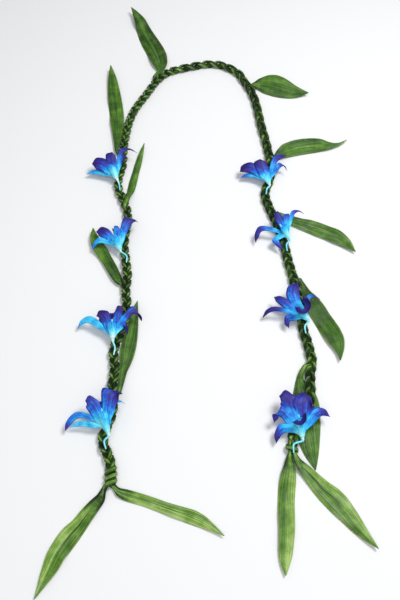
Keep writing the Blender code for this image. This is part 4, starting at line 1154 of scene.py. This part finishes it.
def leaf_material():
    n = Nodes("ti_leaf_green")
    across, along, blade, own = map(n.mark, ("across", "along", "blade", "own"))
    pale, gloss, yellow, width, rib = map(n.mark, ("pale", "gloss", "yellow", "width", "rib"))
    place = n.place()
    side, strand = abs(across), 1.0 - blade
    # Veins leave the midrib at a narrow angle: lines of equal distance out and back along the leaf
    veins = n.math("SINE", (side * width * 700.0 - along * 95.0) * 2.2)
    slant = side - along * 3.0
    streaks = n.noise(n.vector(slant * 5.0, along * 9.0, own), 1.0, 3.0)
    threads = n.noise(n.vector(slant * 24.0, along * 12.0, own), 1.0, 2.0)
    blotches = n.noise(place, 70.0, 4.0, 0.65)
    # Lengthwise streaks of the leaf's own tone, made stronger on glossier leaves, where they are also painted
    # sheen
    light = (streaks.swing(0.14) + threads.swing(0.09)) * (0.7 + gloss * 1.1)
    # Mottled tone of the leaf, made stronger on the strands, where it is also painted light and shade on
    # their lobes
    light += blotches.remap(0.35, 0.68, -0.15, 0.16) * (1.0 + strand * 0.8)
    light += veins * 0.02
    # The leaf's own tone with the painted light of its paler half, and the strands' own tone
    light += pale * blade + strand * STRAND_LIGHT
    # Painted shade: strands are darker towards their edges, as in the gaps between them
    light += side.remap(0.30, 0.90, 0.10, -0.52) * strand
    green = n.ramp(light, (
        (0.0, (0.004, 0.012, 0.002)), (0.25, (0.019, 0.062, 0.005)), (0.5, (0.058, 0.160, 0.012)),
        (0.75, (0.155, 0.305, 0.036)), (1.0, (0.38, 0.54, 0.16))))
    # Yellow margins, then the midrib, as a pale line or as a dark crease of painted shade in the fold
    green = n.mix(side.remap(0.84, 0.99) * yellow * blade, green, (0.24, 0.32, 0.05))
    line = side.remap(0.07, 0.0, 0.0, 0.6) * blade
    green = n.mix(line * n.math("MAXIMUM", rib, 0.0), green, (0.17, 0.29, 0.07))
    # Painted shade: a dark line along the fold of the midrib
    crease = side.remap(0.14, 0.0, 0.0, 1.3) * blade
    crease = n.math("MULTIPLY", crease, n.math("MAXIMUM", rib * -1.0, 0.0), clamp=True)
    green = n.mix(crease, green, (0.010, 0.026, 0.005))
    # Painted highlight: pale satin patches where the leaf's skin is turned to the light
    painted_sheen = n.noise(n.vector(across * 1.6, along * 22.0, own), 1.0, 3.0)
    painted_sheen = painted_sheen.remap(0.52, 0.72) * threads.remap(0.35, 0.6) * gloss
    green = n.mix(painted_sheen * blade * 0.6, green, (0.42, 0.50, 0.33))
    # Painted highlight: pale spots on the middles of the strands, on the tops of the plait's lobes
    painted_glints = n.noise(place, 170.0, 2.0).remap(0.56, 0.68) * side.remap(0.6, 0.3)
    green = n.mix(painted_glints * strand * 0.35, green, (0.36, 0.45, 0.26))
    shine = n.noise(place, 90.0, 2.0).remap(0.4, 0.7, 0.08, -0.08)
    height = veins * 0.3 + (streaks + threads)
    return n.surface(Base_Color=green, Roughness=0.50 - gloss * 0.12 + shine, Specular_IOR_Level=0.27,
                     Normal=n.bump(height, 0.4 * MM))


def petal_material():
    n = Nodes("orchid_blue")
    across, reach, dyed = map(n.mark, ("across", "reach", "dyed"))
    place = n.place()
    lines = n.noise(n.vector(across * 7.0, reach * 2.0, dyed), 1.0, 3.0)
    cloud = n.noise(place, 110.0, 4.0, 0.6)
    grain = n.noise(place, 900.0, 2.0, 0.6)
    shade = dyed + lines.swing(0.12) + cloud.swing(0.13) + grain.swing(0.03)
    # The dye is a little stronger at the edges
    shade += n.math("POWER", abs(across), 3.0) * 0.06
    blue = n.ramp(shade, (
        (0.0, (0.80, 0.95, 0.90)), (0.12, (0.34, 0.90, 0.95)), (0.30, (0.060, 0.64, 0.92)),
        (0.44, (0.012, 0.32, 0.84)), (0.56, (0.012, 0.095, 0.58)), (0.70, (0.030, 0.022, 0.28)),
        (1.0, (0.020, 0.008, 0.12))))
    return n.surface(Base_Color=blue, Roughness=0.5, Specular_IOR_Level=0.28, Subsurface_Weight=0.08,
                     Subsurface_Radius=(0.6 * MM, 1.0 * MM, 1.6 * MM),
                     Normal=n.bump(lines + cloud * 0.5, 0.5 * MM))


def lip_material():
    n = Nodes("orchid_indigo")
    cloud = n.noise(n.place(), 260.0, 3.0)
    shade = n.mark("reach") + cloud.swing(0.25)
    dark = n.ramp(shade, (
        (0.0, (0.02, 0.05, 0.30)), (0.35, (0.024, 0.012, 0.19)), (1.0, (0.014, 0.006, 0.12))))
    return n.surface(Base_Color=dark, Roughness=0.5, Specular_IOR_Level=0.22, Sheen_Weight=0.05,
                     Normal=n.bump(cloud, 0.5 * MM))


# ---- stage ----

CAMERA_AT = Vector((-0.020, -0.495, 0.70)) + TO_ORIGIN
CAMERA_PITCH = 60.0
# Height of the photo and the focal length, both in the photo's pixels
IMAGE_HEIGHT = 600
FOCAL_PIXELS = 700
SENSOR = 24.0
FLOOR_SIZE = 8.0


def add_camera():
    data = bpy.data.cameras.new("camera")
    data.sensor_fit = "VERTICAL"
    data.sensor_height = SENSOR
    data.lens = SENSOR * FOCAL_PIXELS / IMAGE_HEIGHT
    camera = placed("camera", data, CAMERA_AT)
    camera.rotation_euler = (radians(90 - CAMERA_PITCH), 0, 0)
    SCENE.camera = camera


def add_floor():
    pale = Nodes("pale_floor").surface(Base_Color=(0.845, 0.85, 0.855, 1), Roughness=0.9,
                                       Specular_IOR_Level=0.1)
    mesh = bpy.data.meshes.new("floor")
    far = FLOOR_SIZE / 2
    mesh.from_pydata([(-far, -far, 0), (far, -far, 0), (far, far, 0), (-far, far, 0)], [], [(0, 1, 2, 3)])
    mesh.materials.append(pale)
    floor = placed("floor", mesh, (0, 0, 0))


def add_light(name, place, look_at, size, power):
    data = bpy.data.lights.new(name, "AREA")
    data.shape = "DISK"
    data.size = size
    data.energy = power
    lamp = placed(name, data, place)
    lamp.rotation_euler = (Vector(look_at) - Vector(place)).to_track_quat("-Z", "Y").to_euler()


def add_world():
    world = bpy.data.worlds.new("soft_light")
    SCENE.world = world
    world.use_nodes = True
    back = world.node_tree.nodes["Background"]
    back.inputs[0].default_value = (0.96, 0.98, 1.0, 1)
    back.inputs[1].default_value = 0.42


SCENE.view_settings.view_transform = "Standard"
add_camera()
add_floor()
add_light("key", (0.5, 0.1, 1.25), (0, -0.1, 0), 0.5, 12.5)
add_light("front", (-0.2, -0.9, 1.4), (0, -0.25, 0), 1.2, 6)
add_world()
dress_leaves(leaf_material())
dress_blooms(petal_material(), lip_material())
